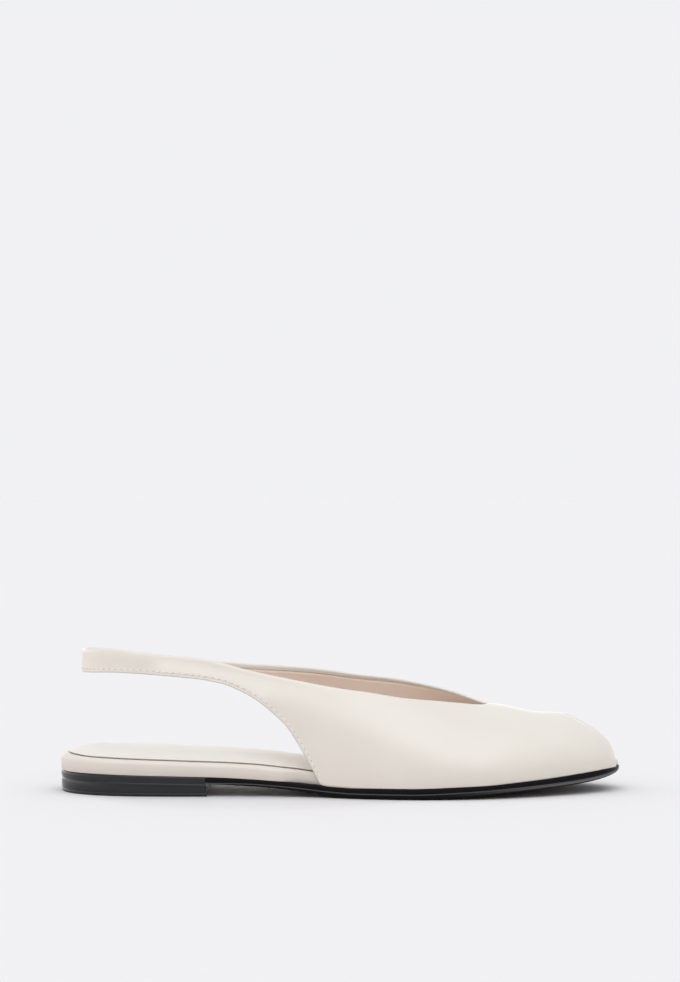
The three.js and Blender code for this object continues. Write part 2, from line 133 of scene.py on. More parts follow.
LAST_ROWS = (
    LastRow(0.0, 0.0, 0.0, 0.0, 2.26, 4.0),
    LastRow(0.03, 0.2, 0.2, 0.0, 2.26, 4.0),
    LastRow(0.08, 0.295, 0.295, 0.0, 2.26, 4.0),
    LastRow(0.16, 0.341, 0.341, 0.0, 2.22, 4.0),
    LastRow(0.26, 0.345, 0.328, 0.02, 2.165, 3.8),
    LastRow(0.36, 0.355, 0.295, 0.05, 2.1, 3.1),
    LastRow(0.44, 0.385, 0.297, 0.06, 2.02, 2.6),
    LastRow(0.52, 0.455, 0.356, 0.04, 1.83, 2.2),
    LastRow(0.6, 0.514, 0.429, 0.01, 1.548, 1.95),
    LastRow(0.68, 0.535, 0.465, 0.0, 1.256, 1.9),
    LastRow(0.72, 0.531, 0.464, 0.0, 1.118, 1.92),
    LastRow(0.76, 0.513, 0.453, 0.0, 0.99, 2.0),
    LastRow(0.8, 0.481, 0.435, 0.0, 0.919, 2.1),
    LastRow(0.825, 0.455, 0.418, 0.0, 0.862, 2.15),
    LastRow(0.86, 0.412, 0.384, 0.0, 0.8, 2.2),
    LastRow(0.9, 0.352, 0.334, 0.0, 0.752, 2.25),
    LastRow(0.93, 0.3, 0.288, 0.0, 0.645, 2.25),
    LastRow(0.96, 0.235, 0.228, 0.0, 0.505, 2.25),
    LastRow(0.98, 0.175, 0.17, 0.0, 0.389, 2.25),
    LastRow(1.0, 0.0, 0.0, 0.0, 0.0, 2.25),
)

SOLE_ROWS = (
    SoleRow(0.0, 1.0, 0.0, 0.66, 0.1, 1.12),
    SoleRow(0.05, 1.0, 0.0, 0.66, 0.07, 1.0),
    SoleRow(0.18, 0.93, 0.0, 0.65, 0.05, 0.94),
    SoleRow(0.264, 0.86, 0.0, 0.65, 0.1, 0.9),
    SoleRow(0.34, 0.73, 0.0, 0.65, 0.35, 0.9),
    SoleRow(0.43, 0.42, 0.0, 0.72, 0.5, 0.78),
    SoleRow(0.48, 0.14, 0.0, 0.89, 0.8, 0.68),
    SoleRow(0.525, 0.0, 0.0, 1.0, 1.0, 0.6),
    SoleRow(0.62, 0.0, 0.0, 1.04, 1.0, 0.5),
    SoleRow(0.7, 0.0, 0.09, 1.03, 1.0, 0.45),
    SoleRow(0.78, 0.0, 0.25, 0.94, 0.9, 0.42),
    SoleRow(0.85, 0.0, 0.4, 0.94, 0.85, 0.4),
    SoleRow(0.92, 0.0, 0.57, 0.98, 0.8, 0.4),
    SoleRow(0.96, 0.0, 0.73, 0.91, 0.75, 0.38),
    SoleRow(1.0, 0.0, 1.0, 0.57, 0.6, 0.36),
)

# Share of the length at the throat, where the topline ends
THROAT = 0.763

TOPLINE_ROWS = (
    EdgeRow(0, 0.722, 0.722),
    EdgeRow(0.105, 0.737, 0.696),
    EdgeRow(0.21, 0.73, 0.678),
    EdgeRow(0.315, 0.726, 0.667),
    EdgeRow(0.367, 0.715, 0.667),
    EdgeRow(0.419, 0.69, 0.67),
    EdgeRow(0.472, 0.672, 0.679),
    EdgeRow(0.524, 0.663, 0.691),
    EdgeRow(0.629, 0.673, 0.736),
    EdgeRow(0.734, 0.724, 0.804),
    EdgeRow(0.786, 0.757, 0.86),
    EdgeRow(0.865, 0.837, 0.938),
    EdgeRow(0.917, 0.893, 0.976),
    EdgeRow(0.957, 0.941, 0.992),
    EdgeRow(1.0, 1.0, 1.0),
)

ARCH_CUT_ROWS = (
    EdgeRow(0.0, 0.583, 0.583),
    EdgeRow(0.08, 0.595, 0.561),
    EdgeRow(0.16, 0.601, 0.555),
    EdgeRow(0.24, 0.595, 0.547),
    EdgeRow(0.29, 0.578, 0.534),
    EdgeRow(0.32, 0.547, 0.514),
    EdgeRow(0.35, 0.5, 0.478),
    EdgeRow(0.38, 0.427, 0.42),
    EdgeRow(0.406, 0.346, 0.346),
    EdgeRow(0.424, 0.253, 0.253),
    EdgeRow(0.444, 0.133, 0.133),
    EdgeRow(0.464, 0.0, 0.0),
    EdgeRow(0.476, -0.1, -0.1),
)


@dataclass(frozen=True)
class SoftFold:
    """Soft ridge, or trough if its height is below 0, placed on the leather.

    The path holds X and Z of its points in millimetres, seen from the side."""

    side: Side
    path: tuple[tuple[float, float], ...]
    height: float
    width: float


SOFT_FOLDS = (
    # Turn of the lateral quarter into the vamp, above the hollow of the waist
    SoftFold(
        Side.LATERAL,
        ((94.0, 41.0), (125.0, 34.0), (148.0, 26.0), (172.0, 17.5), (188.0, 13.5)),
        0.75,
        8.0,
    ),
    # Hollow below the topline, where the quarter draws into the sling
    SoftFold(Side.LATERAL, ((50.0, 61.5), (88.0, 54.0), (106.0, 50.0)), -0.6, 6.0),
    # Top edge of the sling stands out a little at the heel, its lower edge further on
    SoftFold(Side.LATERAL, ((20.0, 63.5), (30.0, 62.5), (37.0, 62.0)), 0.6, 5.5),
    SoftFold(Side.LATERAL, ((48.0, 52.5), (74.0, 48.0), (90.0, 42.0)), 1.1, 6.0),
    # Flex trough where the vamp bends over the toe joints
    SoftFold(Side.LATERAL, ((172.0, 37.0), (180.0, 28.0), (184.0, 19.0)), -0.16, 5.0),
    # The same turn and trough on the medial side
    SoftFold(Side.MEDIAL, ((100.0, 46.0), (128.0, 34.0), (152.0, 24.0), (178.0, 15.0)), 0.5, 8.0),
    SoftFold(Side.MEDIAL, ((174.0, 36.0), (182.0, 27.0), (187.0, 18.0)), -0.16, 5.0),
)


def soft_step(low: float, high: float, value: Array) -> Array:
    """Step softly from 0 to 1 between two values.

    Args:
        low: Value where the step starts.
        high: Value where the step ends.
        value: Values to read it at.

    Returns:
        The step at each value.
    """
    share = np.clip((value - low) / (high - low), 0.0, 1.0)
    return share * share * (3.0 - 2.0 * share)


def steady(value: float) -> Callable[[Array], Array]:
    """Return a size that stays the same all along the shoe."""
    return lambda t: np.full_like(t, value)


def unit(vectors: Array) -> Array:
    """Return the vectors of the last axis at length one."""
    return vectors / np.maximum(np.linalg.norm(vectors, axis=-1, keepdims=True), 1e-12)


def quarter_turn(steps: int) -> list[tuple[float, float]]:
    """Return the sine and cosine of even steps through a quarter turn."""
    angles = [math.pi / 2 * k / steps for k in range(steps + 1)]
    return [(math.sin(angle), math.cos(angle)) for angle in angles]


class SmoothCurve:
    """Curve with a continuous bend through the rows of a table."""

    def __init__(self, at: Sequence[float], value: Sequence[float]) -> None:
        """Work out the bend at each row of the table.

        Args:
            at: Places of the rows.
            value: Values of the rows.
        """
        self.at = np.array(at, float)
        self.value = np.array(value, float)
        count = len(at)
        steps = np.diff(self.at)
        slopes = np.diff(self.value) / steps
        matrix = np.eye(count)
        turns = np.zeros(count)
        for row in range(1, count - 1):
            matrix[row, row - 1] = steps[row - 1]
            matrix[row, row] = 2.0 * (steps[row - 1] + steps[row])
            matrix[row, row + 1] = steps[row]
            turns[row] = 6.0 * (slopes[row] - slopes[row - 1])
        self.bend = np.linalg.solve(matrix, turns)

    def __call__(self, t: Array) -> Array:
        """Return the curve's values at the places t."""
        t = np.asarray(t, float)
        i = np.clip(np.searchsorted(self.at, t) - 1, 0, len(self.at) - 2)
        span = self.at[i + 1] - self.at[i]
        b = (t - self.at[i]) / span
        a = 1.0 - b
        curve = (a**3 - a) * self.bend[i] + (b**3 - b) * self.bend[i + 1]
        return a * self.value[i] + b * self.value[i + 1] + curve * span * span / 6.0


class SteadyCurve:
    """Curve that never swings past the rows of a table, so flat stretches stay flat."""

    def __init__(self, at: Sequence[float], value: Sequence[float]) -> None:
        """Work out the slope at each row of the table.

        Args:
            at: Places of the rows.
            value: Values of the rows.
        """
        self.at = np.array(at, float)
        self.value = np.array(value, float)
        rise = np.diff(self.value) / np.diff(self.at)
        before, after = rise[:-1], rise[1:]
        total = np.where(before * after > 0, before + after, 1.0)
        inner = np.where(before * after > 0, 2.0 * before * after / total, 0.0)
        self.slope = np.concatenate(([rise[0]], inner, [rise[-1]]))

    def __call__(self, t: Array) -> Array:
        """Return the curve's values at the places t."""
        t = np.asarray(t, float)
        i = np.clip(np.searchsorted(self.at, t) - 1, 0, len(self.at) - 2)
        span = self.at[i + 1] - self.at[i]
        b = (t - self.at[i]) / span
        a = 1.0 - b
        near = self.value[i] * (1.0 + 2.0 * b) * a * a
        far = self.value[i + 1] * (1.0 + 2.0 * a) * b * b
        return near + far + span * a * b * (self.slope[i] * a - self.slope[i + 1] * b)


@dataclass
class Last:
    """The last that every piece of the shoe follows."""

    length: float = 250.0
    ball_width: float = 80.0
    instep_height: float = 33.0
    toe_swing: float = 5.0
    heel_lean: float = 8.9
    bulge: float = 0.9
    heel_height: float = 6.4
    toe_spring: float = 8.2
    sole_thickness: float = 4.7
    sole_margin: float = 0.1
    edge_round: float = 1.9
    bed_thickness: float = 6.6
    clearance: float = 0.3
    swing_starts: float = 0.5
    lean_ends: float = 0.24
    lean_low: float = 0.08
    lean_high: float = 0.55
    shift: Array = field(default_factory=lambda: np.zeros(3))

    def __post_init__(self) -> None:
        """Make the curves of the tables."""
        at = [row.at for row in LAST_ROWS]
        sole = [row.at for row in SOLE_ROWS]
        width = self.ball_width
        self._lateral = SmoothCurve(at, [(row.lateral * width) ** 2 for row in LAST_ROWS])
        self._medial = SmoothCurve(at, [(row.medial * width) ** 2 for row in LAST_ROWS])
        self._ridge = SmoothCurve(at, [(row.ridge * self.instep_height) ** 2 for row in LAST_ROWS])
        self._flare = SmoothCurve(at, [row.flare * width for row in LAST_ROWS])
        self.square = SmoothCurve(at, [row.square for row in LAST_ROWS])
        self.underside = SteadyCurve(
            sole, [row.heel * self.heel_height + row.spring * self.toe_spring for row in SOLE_ROWS]
        )
        self.sole_depth = SteadyCurve(sole, [row.thick * self.sole_thickness for row in SOLE_ROWS])
        self.sole_round = SteadyCurve(sole, [row.round * self.edge_round for row in SOLE_ROWS])
        self.bed_depth = SteadyCurve(sole, [row.bed * self.bed_thickness for row in SOLE_ROWS])

    def feather(self, t: Array) -> Array:
        """Return the height of the feather line, where upper and outsole meet."""
        return self.underside(t) + self.sole_depth(t)

    def bed_top(self, t: Array) -> Array:
        """Return the height of the footbed's top."""
        return self.feather(t) + self.clearance + self.bed_depth(t)

    def height(self, t: Array) -> Array:
        """Return the height of the last from feather line to ridge."""
        return np.sqrt(np.maximum(self._ridge(t), 0.0))

    def width(self, t: Array, side: Array) -> Array:
        """Return the half width of the plan outline on a side, -1 or 1."""
        square = np.where(np.asarray(side) < 0, self._lateral(t), self._medial(t))
        return np.sqrt(np.maximum(square, 0.0))

    def centre(self, t: Array) -> Array:
        """Return how far the centre line swings towards the medial side."""
        return self.toe_swing * soft_step(self.swing_starts, 1.0, t)

    def reach(self, t: Array, share: Array, side: Array) -> Array:
        """Return the distance from the centre line to the wall.

        Args:
            t: Share of the length.
            share: Share of the height.
            side: -1 on the lateral side, 1 on the medial one.

        Returns:
            The distance across, in millimetres.
        """
        square = self.square(t)
        width = self.width(t, side)
        # Bulge low on the wall: 256 / 27 brings its highest value, at a quarter, to 1
        low = share * (1.0 - share) ** 3 * 256.0 / 27.0
        spread = np.where(np.asarray(side) > 0, self._flare(t) * 4.0 * share * (1.0 - share), 0.0)
        swell = self.bulge * (width / self.ball_width) * 2.0 * low
        oval = np.maximum(1.0 - share**square, 0.0) ** (1.0 / square)
        return width * oval + swell + spread

    def point(self, s: Array, a: Array) -> Array:
        """Return points on the last.

        Args:
            s: Step from heel 0 to toe 1, even round both ends.
            a: Step across, from lateral -1 over the ridge to medial 1.

        Returns:
            Points in millimetres in the shoe's frame, on a last axis of three.
        """
        t = (1.0 - np.cos(np.pi * s)) / 2.0
        side = np.where(a < 0, -1.0, 1.0)
        share = np.sin((1.0 - np.abs(a)) * np.pi / 2.0) ** (2.0 / self.square(t))
        fade = np.maximum(1.0 - t / self.lean_ends, 0.0)
        lean = self.heel_lean * fade * fade * soft_step(self.lean_low, self.lean_high, share)
        y = self.centre(t) + side * self.reach(t, share, side)
        z = self.feather(t) + self.clearance + share * self.height(t)
        return np.stack(np.broadcast_arrays(t * self.length + lean, y, z), axis=-1)

    def normal(self, s: Array, a: Array) -> Array:
        """Return the outward directions of the last at steps s and a."""
        small = 1e-4
        ahead = self.point(np.minimum(s + small, 1.0), a)
        behind = self.point(np.maximum(s - small, 0.0), a)
        right = self.point(s, np.minimum(a + small, 1.0))
        left = self.point(s, np.maximum(a - small, -1.0))
        out = unit(np.cross(ahead - behind, right - left))
        out[s < small] = (-1.0, 0.0, 0.0)
        return out

    def across(self, t: Array, share: Array) -> Array:
        """Return the step across, from 0 to 1, where a wall reaches a share of its height."""
        sine = np.clip(share, 0.0, 1.0) ** (self.square(t) / 2.0)
        return 1.0 - 2.0 / np.pi * np.arcsin(sine)

    def outline(self, t: Array, side: Side, inset: Array) -> Array:
        """Return points of the plan outline, set in from the last's own outline.

        Args:
            t: Share of the length.
            side: Side of the shoe.
            inset: Distance inwards, in millimetres.

        Returns:
            Points with X and Y on the last axis.
        """
        small = 1e-5
        sign = side.value
        here = np.stack([t * self.length, self.centre(t) + sign * self.width(t, sign)], axis=-1)
        ahead = np.minimum(t + small, 1.0)
        run = (ahead - t) * self.length
        rise = self.centre(ahead) + sign * self.width(ahead, sign) - here[..., 1]
        inward = sign * unit(np.stack([rise, -run], axis=-1))
        inward[t < small] = (1.0, 0.0)
        inward[t > 1.0 - small] = (-1.0, 0.0)
        return here + inward * np.asarray(inset)[..., None]

    def fit(self, low: Vector) -> None:
        """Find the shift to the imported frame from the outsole's lowest corner there.

        Args:
            low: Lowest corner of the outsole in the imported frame, in metres.
        """
        t = np.linspace(0.0, 1.0, 2001)
        edge = self.outline(t, Side.LATERAL, np.full_like(t, -self.sole_margin))
        corner = np.array([edge[:, 0].min(), edge[:, 1].min(), 0.0])
        self.shift = np.array([low.x, low.y, low.z]) / MM - corner


def mesh_object(
    name: str,
    points: Array,
    faces: list[tuple[int, ...]],
    last: Last,
    zones: list[int] | None = None,
) -> bpy.types.Object:
    """Make a smooth-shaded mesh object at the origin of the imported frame.

    Args:
        name: Name of the piece.
        points: Vertices in millimetres in the shoe's frame.
        faces: Vertex numbers of each face, counter-clockwise seen from outside.
        last: The last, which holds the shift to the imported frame.
        zones: Number of each face's material, if there is more than one.

    Returns:
        The object, linked to the scene.
    """
    mesh = bpy.data.meshes.new(name)
    mesh.from_pydata(((points + last.shift) * MM).tolist(), [], faces)
    if zones:
        mesh.polygons.foreach_set("material_index", zones)
    mesh.validate()
    mesh.shade_smooth()
    made = bpy.data.objects.new(name, mesh)
    bpy.context.scene.collection.objects.link(made)
    return made


def linear(hex_colour: str) -> tuple[float, float, float, float]:
    """Turn an sRGB hex colour into linear values with full opacity.

    Args:
        hex_colour: Colour such as "ede8e2".

    Returns:
        Linear red, green, blue and alpha.
    """
    parts = [int(hex_colour[i : i + 2], 16) / 255.0 for i in (0, 2, 4)]
    toned = [c / 12.92 if c <= 0.04045 else ((c + 0.055) / 1.055) ** 2.4 for c in parts]
    return (toned[0], toned[1], toned[2], 1.0)


def add_node(
    tree: bpy.types.NodeTree,
    kind: str,
    values: dict | None = None,
    links: dict | None = None,
    **settings: object,
) -> bpy.types.Node:
    """Add a node with its settings, input values and links.

    Args:
        tree: Node tree that takes the node.
        kind: Type name of the node.
        values: Value of each input that is set, by name or number.
        links: Output that feeds each linked input, by name or number.
        **settings: Properties of the node itself.

    Returns:
        The new node.
    """
    node = tree.nodes.new(kind)
    for name, value in settings.items():
        setattr(node, name, value)
    for key, value in (values or {}).items():
        node.inputs[key].default_value = value
    for key, output in (links or {}).items():
        tree.links.new(output, node.inputs[key])
    return node


def new_material(name: str) -> tuple[bpy.types.Material, bpy.types.NodeTree, bpy.types.Node]:
    """Make a material with a bare Principled shader.

    Args:
        name: Name of the material.

    Returns:
        The material, its node tree and the shader node.
    """
    made = bpy.data.materials.new(name)
    made.use_nodes = True
    tree = made.node_tree
    tree.nodes.clear()
    shader = add_node(tree, "ShaderNodeBsdfPrincipled")
    add_node(tree, "ShaderNodeOutputMaterial", links={"Surface": shader.outputs["BSDF"]})
    return made, tree, shader


def paint_light_forward(
    tree: bpy.types.NodeTree,
    place: bpy.types.NodeSocket,
    tone: bpy.types.Node,
    painted_light_colour: str,
    reach: tuple[float, float],
) -> bpy.types.Node:
    """Paint light on a colour: it grows paler towards the toe.

    Args:
        tree: Node tree of the material.
        place: Output with the place on the object, in metres.
        tone: Node with the colour so far.
        painted_light_colour: Colour in front, as hex.
        reach: Places along the shoe where the change starts and ends, in millimetres.

    Returns:
        The node with the new colour.
    """
    along = add_node(tree, "ShaderNodeSeparateXYZ", links={"Vector": place})
    share = add_node(
        tree,
        "ShaderNodeMapRange",
        {"From Min": reach[0] * MM, "From Max": reach[1] * MM},
        {"Value": along.outputs["X"]},
        interpolation_type="SMOOTHSTEP",
    )
    return add_node(
        tree,
        "ShaderNodeMix",
        {7: linear(painted_light_colour)},
        {0: share.outputs["Result"], 6: tone.outputs[2]},
        data_type="RGBA",
    )


@dataclass(frozen=True)
class Leather:
    """Corrected-grain leather: a smooth pigmented coat over a fine pore pattern.

    Real pores lie 0.1 to 0.3 mm apart, too fine for the render, so the grain is drawn
    coarser. The mottle is the slow change of tone over a hide. Painted light can make a leather
    paler towards the toe.
    """

    name: str
    colour: str
    shade: str
    roughness: float
    coat: float
    grain_mm: float = 0.7
    grain_height_mm: float = 0.02
    mottle_mm: float = 14.0
    polish_swing: float = 0.04
    painted_light_colour: str | None = None
    painted_light_reach_mm: tuple[float, float] = (-20.0, 40.0)

    def material(self) -> bpy.types.Material:
        """Make the leather: mottled pigment, pores as bump, a satin topcoat and any painted light
        in front.
        """
        made, tree, shader = new_material(self.name)
        place = add_node(tree, "ShaderNodeTexCoord").outputs["Object"]
        mottle = add_node(
            tree,
            "ShaderNodeTexNoise",
            {"Scale": 1.0 / (self.mottle_mm * MM), "Detail": 3.0, "Roughness": 0.55},
            {"Vector": place},
        )
        tone = add_node(
            tree,
            "ShaderNodeMix",
            {6: linear(self.colour), 7: linear(self.shade)},
            {0: mottle.outputs["Fac"]},
            data_type="RGBA",
        )
        grain = add_node(
            tree,
            "ShaderNodeTexVoronoi",
            {"Scale": 1.0 / (self.grain_mm * MM), "Smoothness": 0.6},
            {"Vector": place},
            feature="SMOOTH_F1",
        )
        bump = add_node(
            tree,
            "ShaderNodeBump",
            {"Strength": 1.0, "Distance": self.grain_height_mm * MM},
            {"Height": grain.outputs["Distance"]},
        )
        polish = add_node(
            tree,
            "ShaderNodeMapRange",
            {
                "To Min": self.roughness - self.polish_swing,
                "To Max": self.roughness + self.polish_swing,
            },
            {"Value": mottle.outputs["Fac"]},
        )
        # Painted light: the colour turns paler towards the toe
        if self.painted_light_colour:
            tone = paint_light_forward(tree, place, tone, self.painted_light_colour, self.painted_light_reach_mm)
        tree.links.new(tone.outputs[2], shader.inputs["Base Color"])
        tree.links.new(polish.outputs["Result"], shader.inputs["Roughness"])
        tree.links.new(bump.outputs["Normal"], shader.inputs["Normal"])
        shader.inputs["IOR"].default_value = 1.5
        shader.inputs["Coat Weight"].default_value = self.coat
        shader.inputs["Coat Roughness"].default_value = 0.3
        return made


@dataclass(frozen=True)
class Rubber:
    """Moulded black rubber with a buffed side: nearly black, with a soft satin shine.

    Real buffing marks are about 0.1 mm wide, too fine for the render, so the texture is
    drawn coarser. The cloud is the faint bloom on the rubber.
    """

    name: str
    colour: str
    worn: str
    roughness: float
    coat: float
    gloss: float = 0.5
    texture_mm: float = 0.9
    texture_height_mm: float = 0.015
    cloud_mm: float = 9.0
    painted_light_colour: str | None = None
    painted_light_reach_mm: tuple[float, float] = (40.0, 118.0)

    def material(self) -> bpy.types.Material:
        """Make the rubber: faint bloom in its colour, fine buffing marks as bump, painted light if
        given.
        """
        made, tree, shader = new_material(self.name)
        place = add_node(tree, "ShaderNodeTexCoord").outputs["Object"]
        cloud = add_node(
            tree,
            "ShaderNodeTexNoise",
            {"Scale": 1.0 / (self.cloud_mm * MM), "Detail": 4.0, "Roughness": 0.6},
            {"Vector": place},
        )
        tone = add_node(
            tree,
            "ShaderNodeMix",
            {6: linear(self.colour), 7: linear(self.worn)},
            {0: cloud.outputs["Fac"]},
            data_type="RGBA",
        )
        marks = add_node(
            tree,
            "ShaderNodeTexNoise",
            {"Scale": 1.0 / (self.texture_mm * MM), "Detail": 2.0},
            {"Vector": place},
        )
        bump = add_node(
            tree,
            "ShaderNodeBump",
            {"Strength": 1.0, "Distance": self.texture_height_mm * MM},
            {"Height": marks.outputs["Fac"]},
        )
        # Painted light: the colour turns paler towards the toe
        if self.painted_light_colour:
            tone = paint_light_forward(tree, place, tone, self.painted_light_colour, self.painted_light_reach_mm)
        tree.links.new(tone.outputs[2], shader.inputs["Base Color"])
        tree.links.new(bump.outputs["Normal"], shader.inputs["Normal"])
        shader.inputs["Roughness"].default_value = self.roughness
        shader.inputs["IOR"].default_value = 1.52
        shader.inputs["Specular IOR Level"].default_value = self.gloss
        shader.inputs["Coat Weight"].default_value = self.coat
        shader.inputs["Coat Roughness"].default_value = 0.2
        return made


# Smooth calf with a satin pigment finish: cream, a broad soft sheen
UPPER_LEATHER = Leather("cream_satin_calf", "ded5cb", "d9cfc5", 0.4, 0.4)
# Raw edge of leather and lining at the cut, greyer and darker than the leather: painted shade on
# the rounded edge
CUT_EDGE_PAINTED_SHADE = Leather("cut_edge_painted_shade", "cdc8c2", "c6c1ba", 0.6, 0.0, 0.5, 0.02)
# Unfinished pigskin lining: matt, pinkish beige, with larger pores, and painted light that makes
# it paler towards the throat
LINING_LEATHER = Leather(
    "blush_pigskin_lining", "e0cabb", "dac2b2", 0.62, 0.0, 1.1, 0.03, painted_light_colour="fae6d8"
)
# The same calf skived thin and wrapped round the footbed's edge
FOOTBED_LEATHER = Leather("cream_wrapped_calf", "dad0c6", "d4c9bf", 0.42, 0.1)
# Soft sheep nappa over foam: matt and slightly warm
SOCK_LEATHER = Leather("cream_sock_nappa", "e2dad3", "dcd3cb", 0.55, 0.0, 0.9, 0.03)
# Thermoplastic rubber with a trimmed, inked side
SOLE_RUBBER = Rubber("black_inked_rubber", "0d0b0d", "111012", 0.4, 0.0, 0.08)
# Grey line along the sole's side: painted highlight where the bead catches the light
HIGHLIGHT_LINE_RUBBER = Rubber("rubber_line_painted_highlight", "4a484a", "525052", 0.5, 0.0, 0.3)
# Rounded lower edge, paler grey towards the toe: painted light and reflection from the floor
EDGE_REFLECTION_RUBBER = Rubber("rubber_edge_painted_reflection", "0d0b0d", "111012", 0.5, 0.0, 0.1, painted_light_colour="6a6869")
# Tread of the underside with moulded pebbles, drawn a little larger than the real ones
TREAD_RUBBER = Rubber("black_pebbled_tread", "1a191b", "222123", 0.6, 0.0, 0.3, 2.4, 0.25)
# Harder moulded rubber of heel and top piece, a little greyer
HEEL_RUBBER = Rubber("black_heel_rubber", "101115", "141519", 0.26, 0.1, 0.38)
# Bonded polyester thread, cream, and the shaded needle holes between its stitches
THREAD = Leather("cream_bonded_thread", "efe9e0", "e3dacd", 0.5, 0.0, 0.3, 0.02)
NEEDLE_HOLE = Leather("shaded_needle_hole", "c2b5a8", "b8ab9e", 0.8, 0.0, 0.3, 0.01)


@dataclass
class Rim:
    """Cross-section of an edge: distance inwards from the edge and depth below the surface."""

    start: float
    end: float
    points: list[tuple[float, float]]


def half_round(centre: float, top: float, radius: float, steps: int) -> list[tuple[float, float]]:
    """Return the points of a half circle that closes a wall's edge.

    Args:
        centre: Distance of its centre inwards from the edge.
        top: Depth of the surface where it starts.
        radius: Radius, half the wall.
        steps: Number of points between its ends.

    Returns:
        Pairs of distance inwards and depth.
    """
    pairs = []
    for k in range(1, steps + 1):
        angle = math.pi * k / (steps + 1)
        pairs.append((centre - radius * math.sin(angle), top + radius - radius * math.cos(angle)))
    return pairs


@dataclass
class Upper:
    """Vamp, quarters and sling in one leather wall, with its lining and stitches."""

    last: Last
    opening_length: float = 25.4
    opening_width: float = 17.4
    leather: float = 0.85
    turned_round: float = 0.74
    roll_height: float = 1.5
    tight_roll: float = 0.55
    tight_round: float = 0.55
    turned_margin: float = 2.2
    lining_gap: float = 0.35
    lining: float = 0.95
    lining_bevel: float = 0.9
    lasted_drop: float = 0.25
    stitch_pitch: float = 2.9
    stitch_length: float = 2.1
    stitch_inset: float = 1.6
    thread: float = 0.42
    columns_back: int = 190
    columns_vamp: int = 30
    columns_toe: int = 44
    rows: int = 44
    rim_steps: int = 12
    edge_reach: float = 8.0
    even_rows: float = 0.35
    soft_passes: int = 3
    skive: float = 0.35
    skive_middle: float = 0.16
    skive_end: float = 0.28
    fold_flat: float = 1.4
    margin_step: float = 0.12
    margin_rest: float = 0.03
    margin_close: float = 0.15
    hole_width: float = 0.55
    hole_length: float = 0.6

    def __post_init__(self) -> None:
        """Lay out the grid that leather and lining share, and its three edges."""
        self._grid()
        self._chains()

    def _grid(self) -> None:
        """Place columns from heel to toe and rows from lower to upper edge on each side."""
        last = self.last
        back = THROAT * (1.0 - np.cos(np.pi * np.linspace(0, 1, self.columns_back + 1))) / 2.0
        opening = 1.0 - self.opening_length / last.length
        ease = (1.0 - np.cos(np.pi * np.linspace(0, 1, self.columns_vamp + 1))) / 2.0
        vamp = THROAT + (opening - THROAT) * ease
        self.throat = self.columns_back
        self.apex = self.columns_back + self.columns_vamp
        self.last_column = self.apex + self.columns_toe
        self.s = {}
        self.a = {}
        for side in Side:
            rows = TOPLINE_ROWS
            top = SmoothCurve([r.at for r in rows], [self._of(r, side) for r in rows])
            rows = ARCH_CUT_ROWS
            cut = SteadyCurve([r.at for r in rows], [self._of(r, side) for r in rows])
            q = self._opening_steps(side)
            toe = 1.0 - self.opening_length / last.length * (1.0 - q * q)
            t = np.concatenate((back, vamp[1:], toe[1:]))
            high = np.ones_like(t)
            high[: self.throat] = top(t[: self.throat] / THROAT)
            high[self.apex :] = self._opening_share(toe, q * self.opening_width / 2.0, side)
            ends = ARCH_CUT_ROWS[-1].at
            low = np.where(t < ends, np.maximum(cut(np.minimum(t, ends)), 0.0), 0.0)
            v = np.linspace(0.0, 1.0, self.rows + 1)
            v = self.even_rows * v + (1.0 - self.even_rows) * (1.0 - np.cos(np.pi * v)) / 2.0
            start = last.across(t, low)[:, None]
            stop = last.across(t, high)[:, None]
            steps = np.arccos(1.0 - 2.0 * t)[:, None] / np.pi
            self.s[side] = np.repeat(steps, self.rows + 1, axis=1)
            self.a[side] = side.value * (start + (stop - start) * v)
            self.cut_ends = int(np.searchsorted(t, ARCH_CUT_ROWS[-2].at))
        count = (self.last_column + 1) * (self.rows + 1)
        self.points = np.zeros((2 * count, 3))
        self.normals = np.zeros((2 * count, 3))
        for side, base in ((Side.LATERAL, 0), (Side.MEDIAL, count)):
            points = last.point(self.s[side], self.a[side])
            normals = last.normal(self.s[side], self.a[side])
            points = points + normals * self._folds(points, side)[..., None]
            self.points[base : base + count] = points.reshape(-1, 3)
            self.normals[base : base + count] = normals.reshape(-1, 3)
        self.count = count

    @staticmethod
    def _folds(points: Array, side: Side) -> Array:
        """Return how far the soft folds of a side lift each point.

        Args:
            points: Points on the last.
            side: Side of the shoe.

        Returns:
            The lift of each point, in millimetres.
        """
        flat = points[..., (0, 2)]
        lift = np.zeros(flat.shape[:-1])
        for fold in SOFT_FOLDS:
            if fold.side is not side:
                continue
            path = np.array(fold.path)
            nearest = np.full(lift.shape, np.inf)
            for start, stop in zip(path[:-1], path[1:]):
                run = stop - start
                share = np.clip(((flat - start) * run).sum(axis=-1) / (run * run).sum(), 0.0, 1.0)
                gap = np.linalg.norm(flat - start - share[..., None] * run, axis=-1)
                nearest = np.minimum(nearest, gap)
            lift += fold.height * np.exp(-((nearest / fold.width) ** 2))
        return lift

    @staticmethod
    def _of(row: EdgeRow, side: Side) -> float:
        """Return a table row's value on a side."""
        return row.lateral if side is Side.LATERAL else row.medial

    def _opening_steps(self, side: Side) -> Array:
        """Return steps along the toe opening, from its apex to the feather line."""
        low, high = 0.5, 1.0
        for _ in range(HALVINGS):
            q = (low + high) / 2.0
            t = 1.0 - self.opening_length / self.last.length * (1.0 - q * q)
            wide = float(self.last.width(t, side.value)) > q * self.opening_width / 2.0
            low, high = (q, high) if wide else (low, q)
        return np.linspace(0.0, low, self.columns_toe + 1)

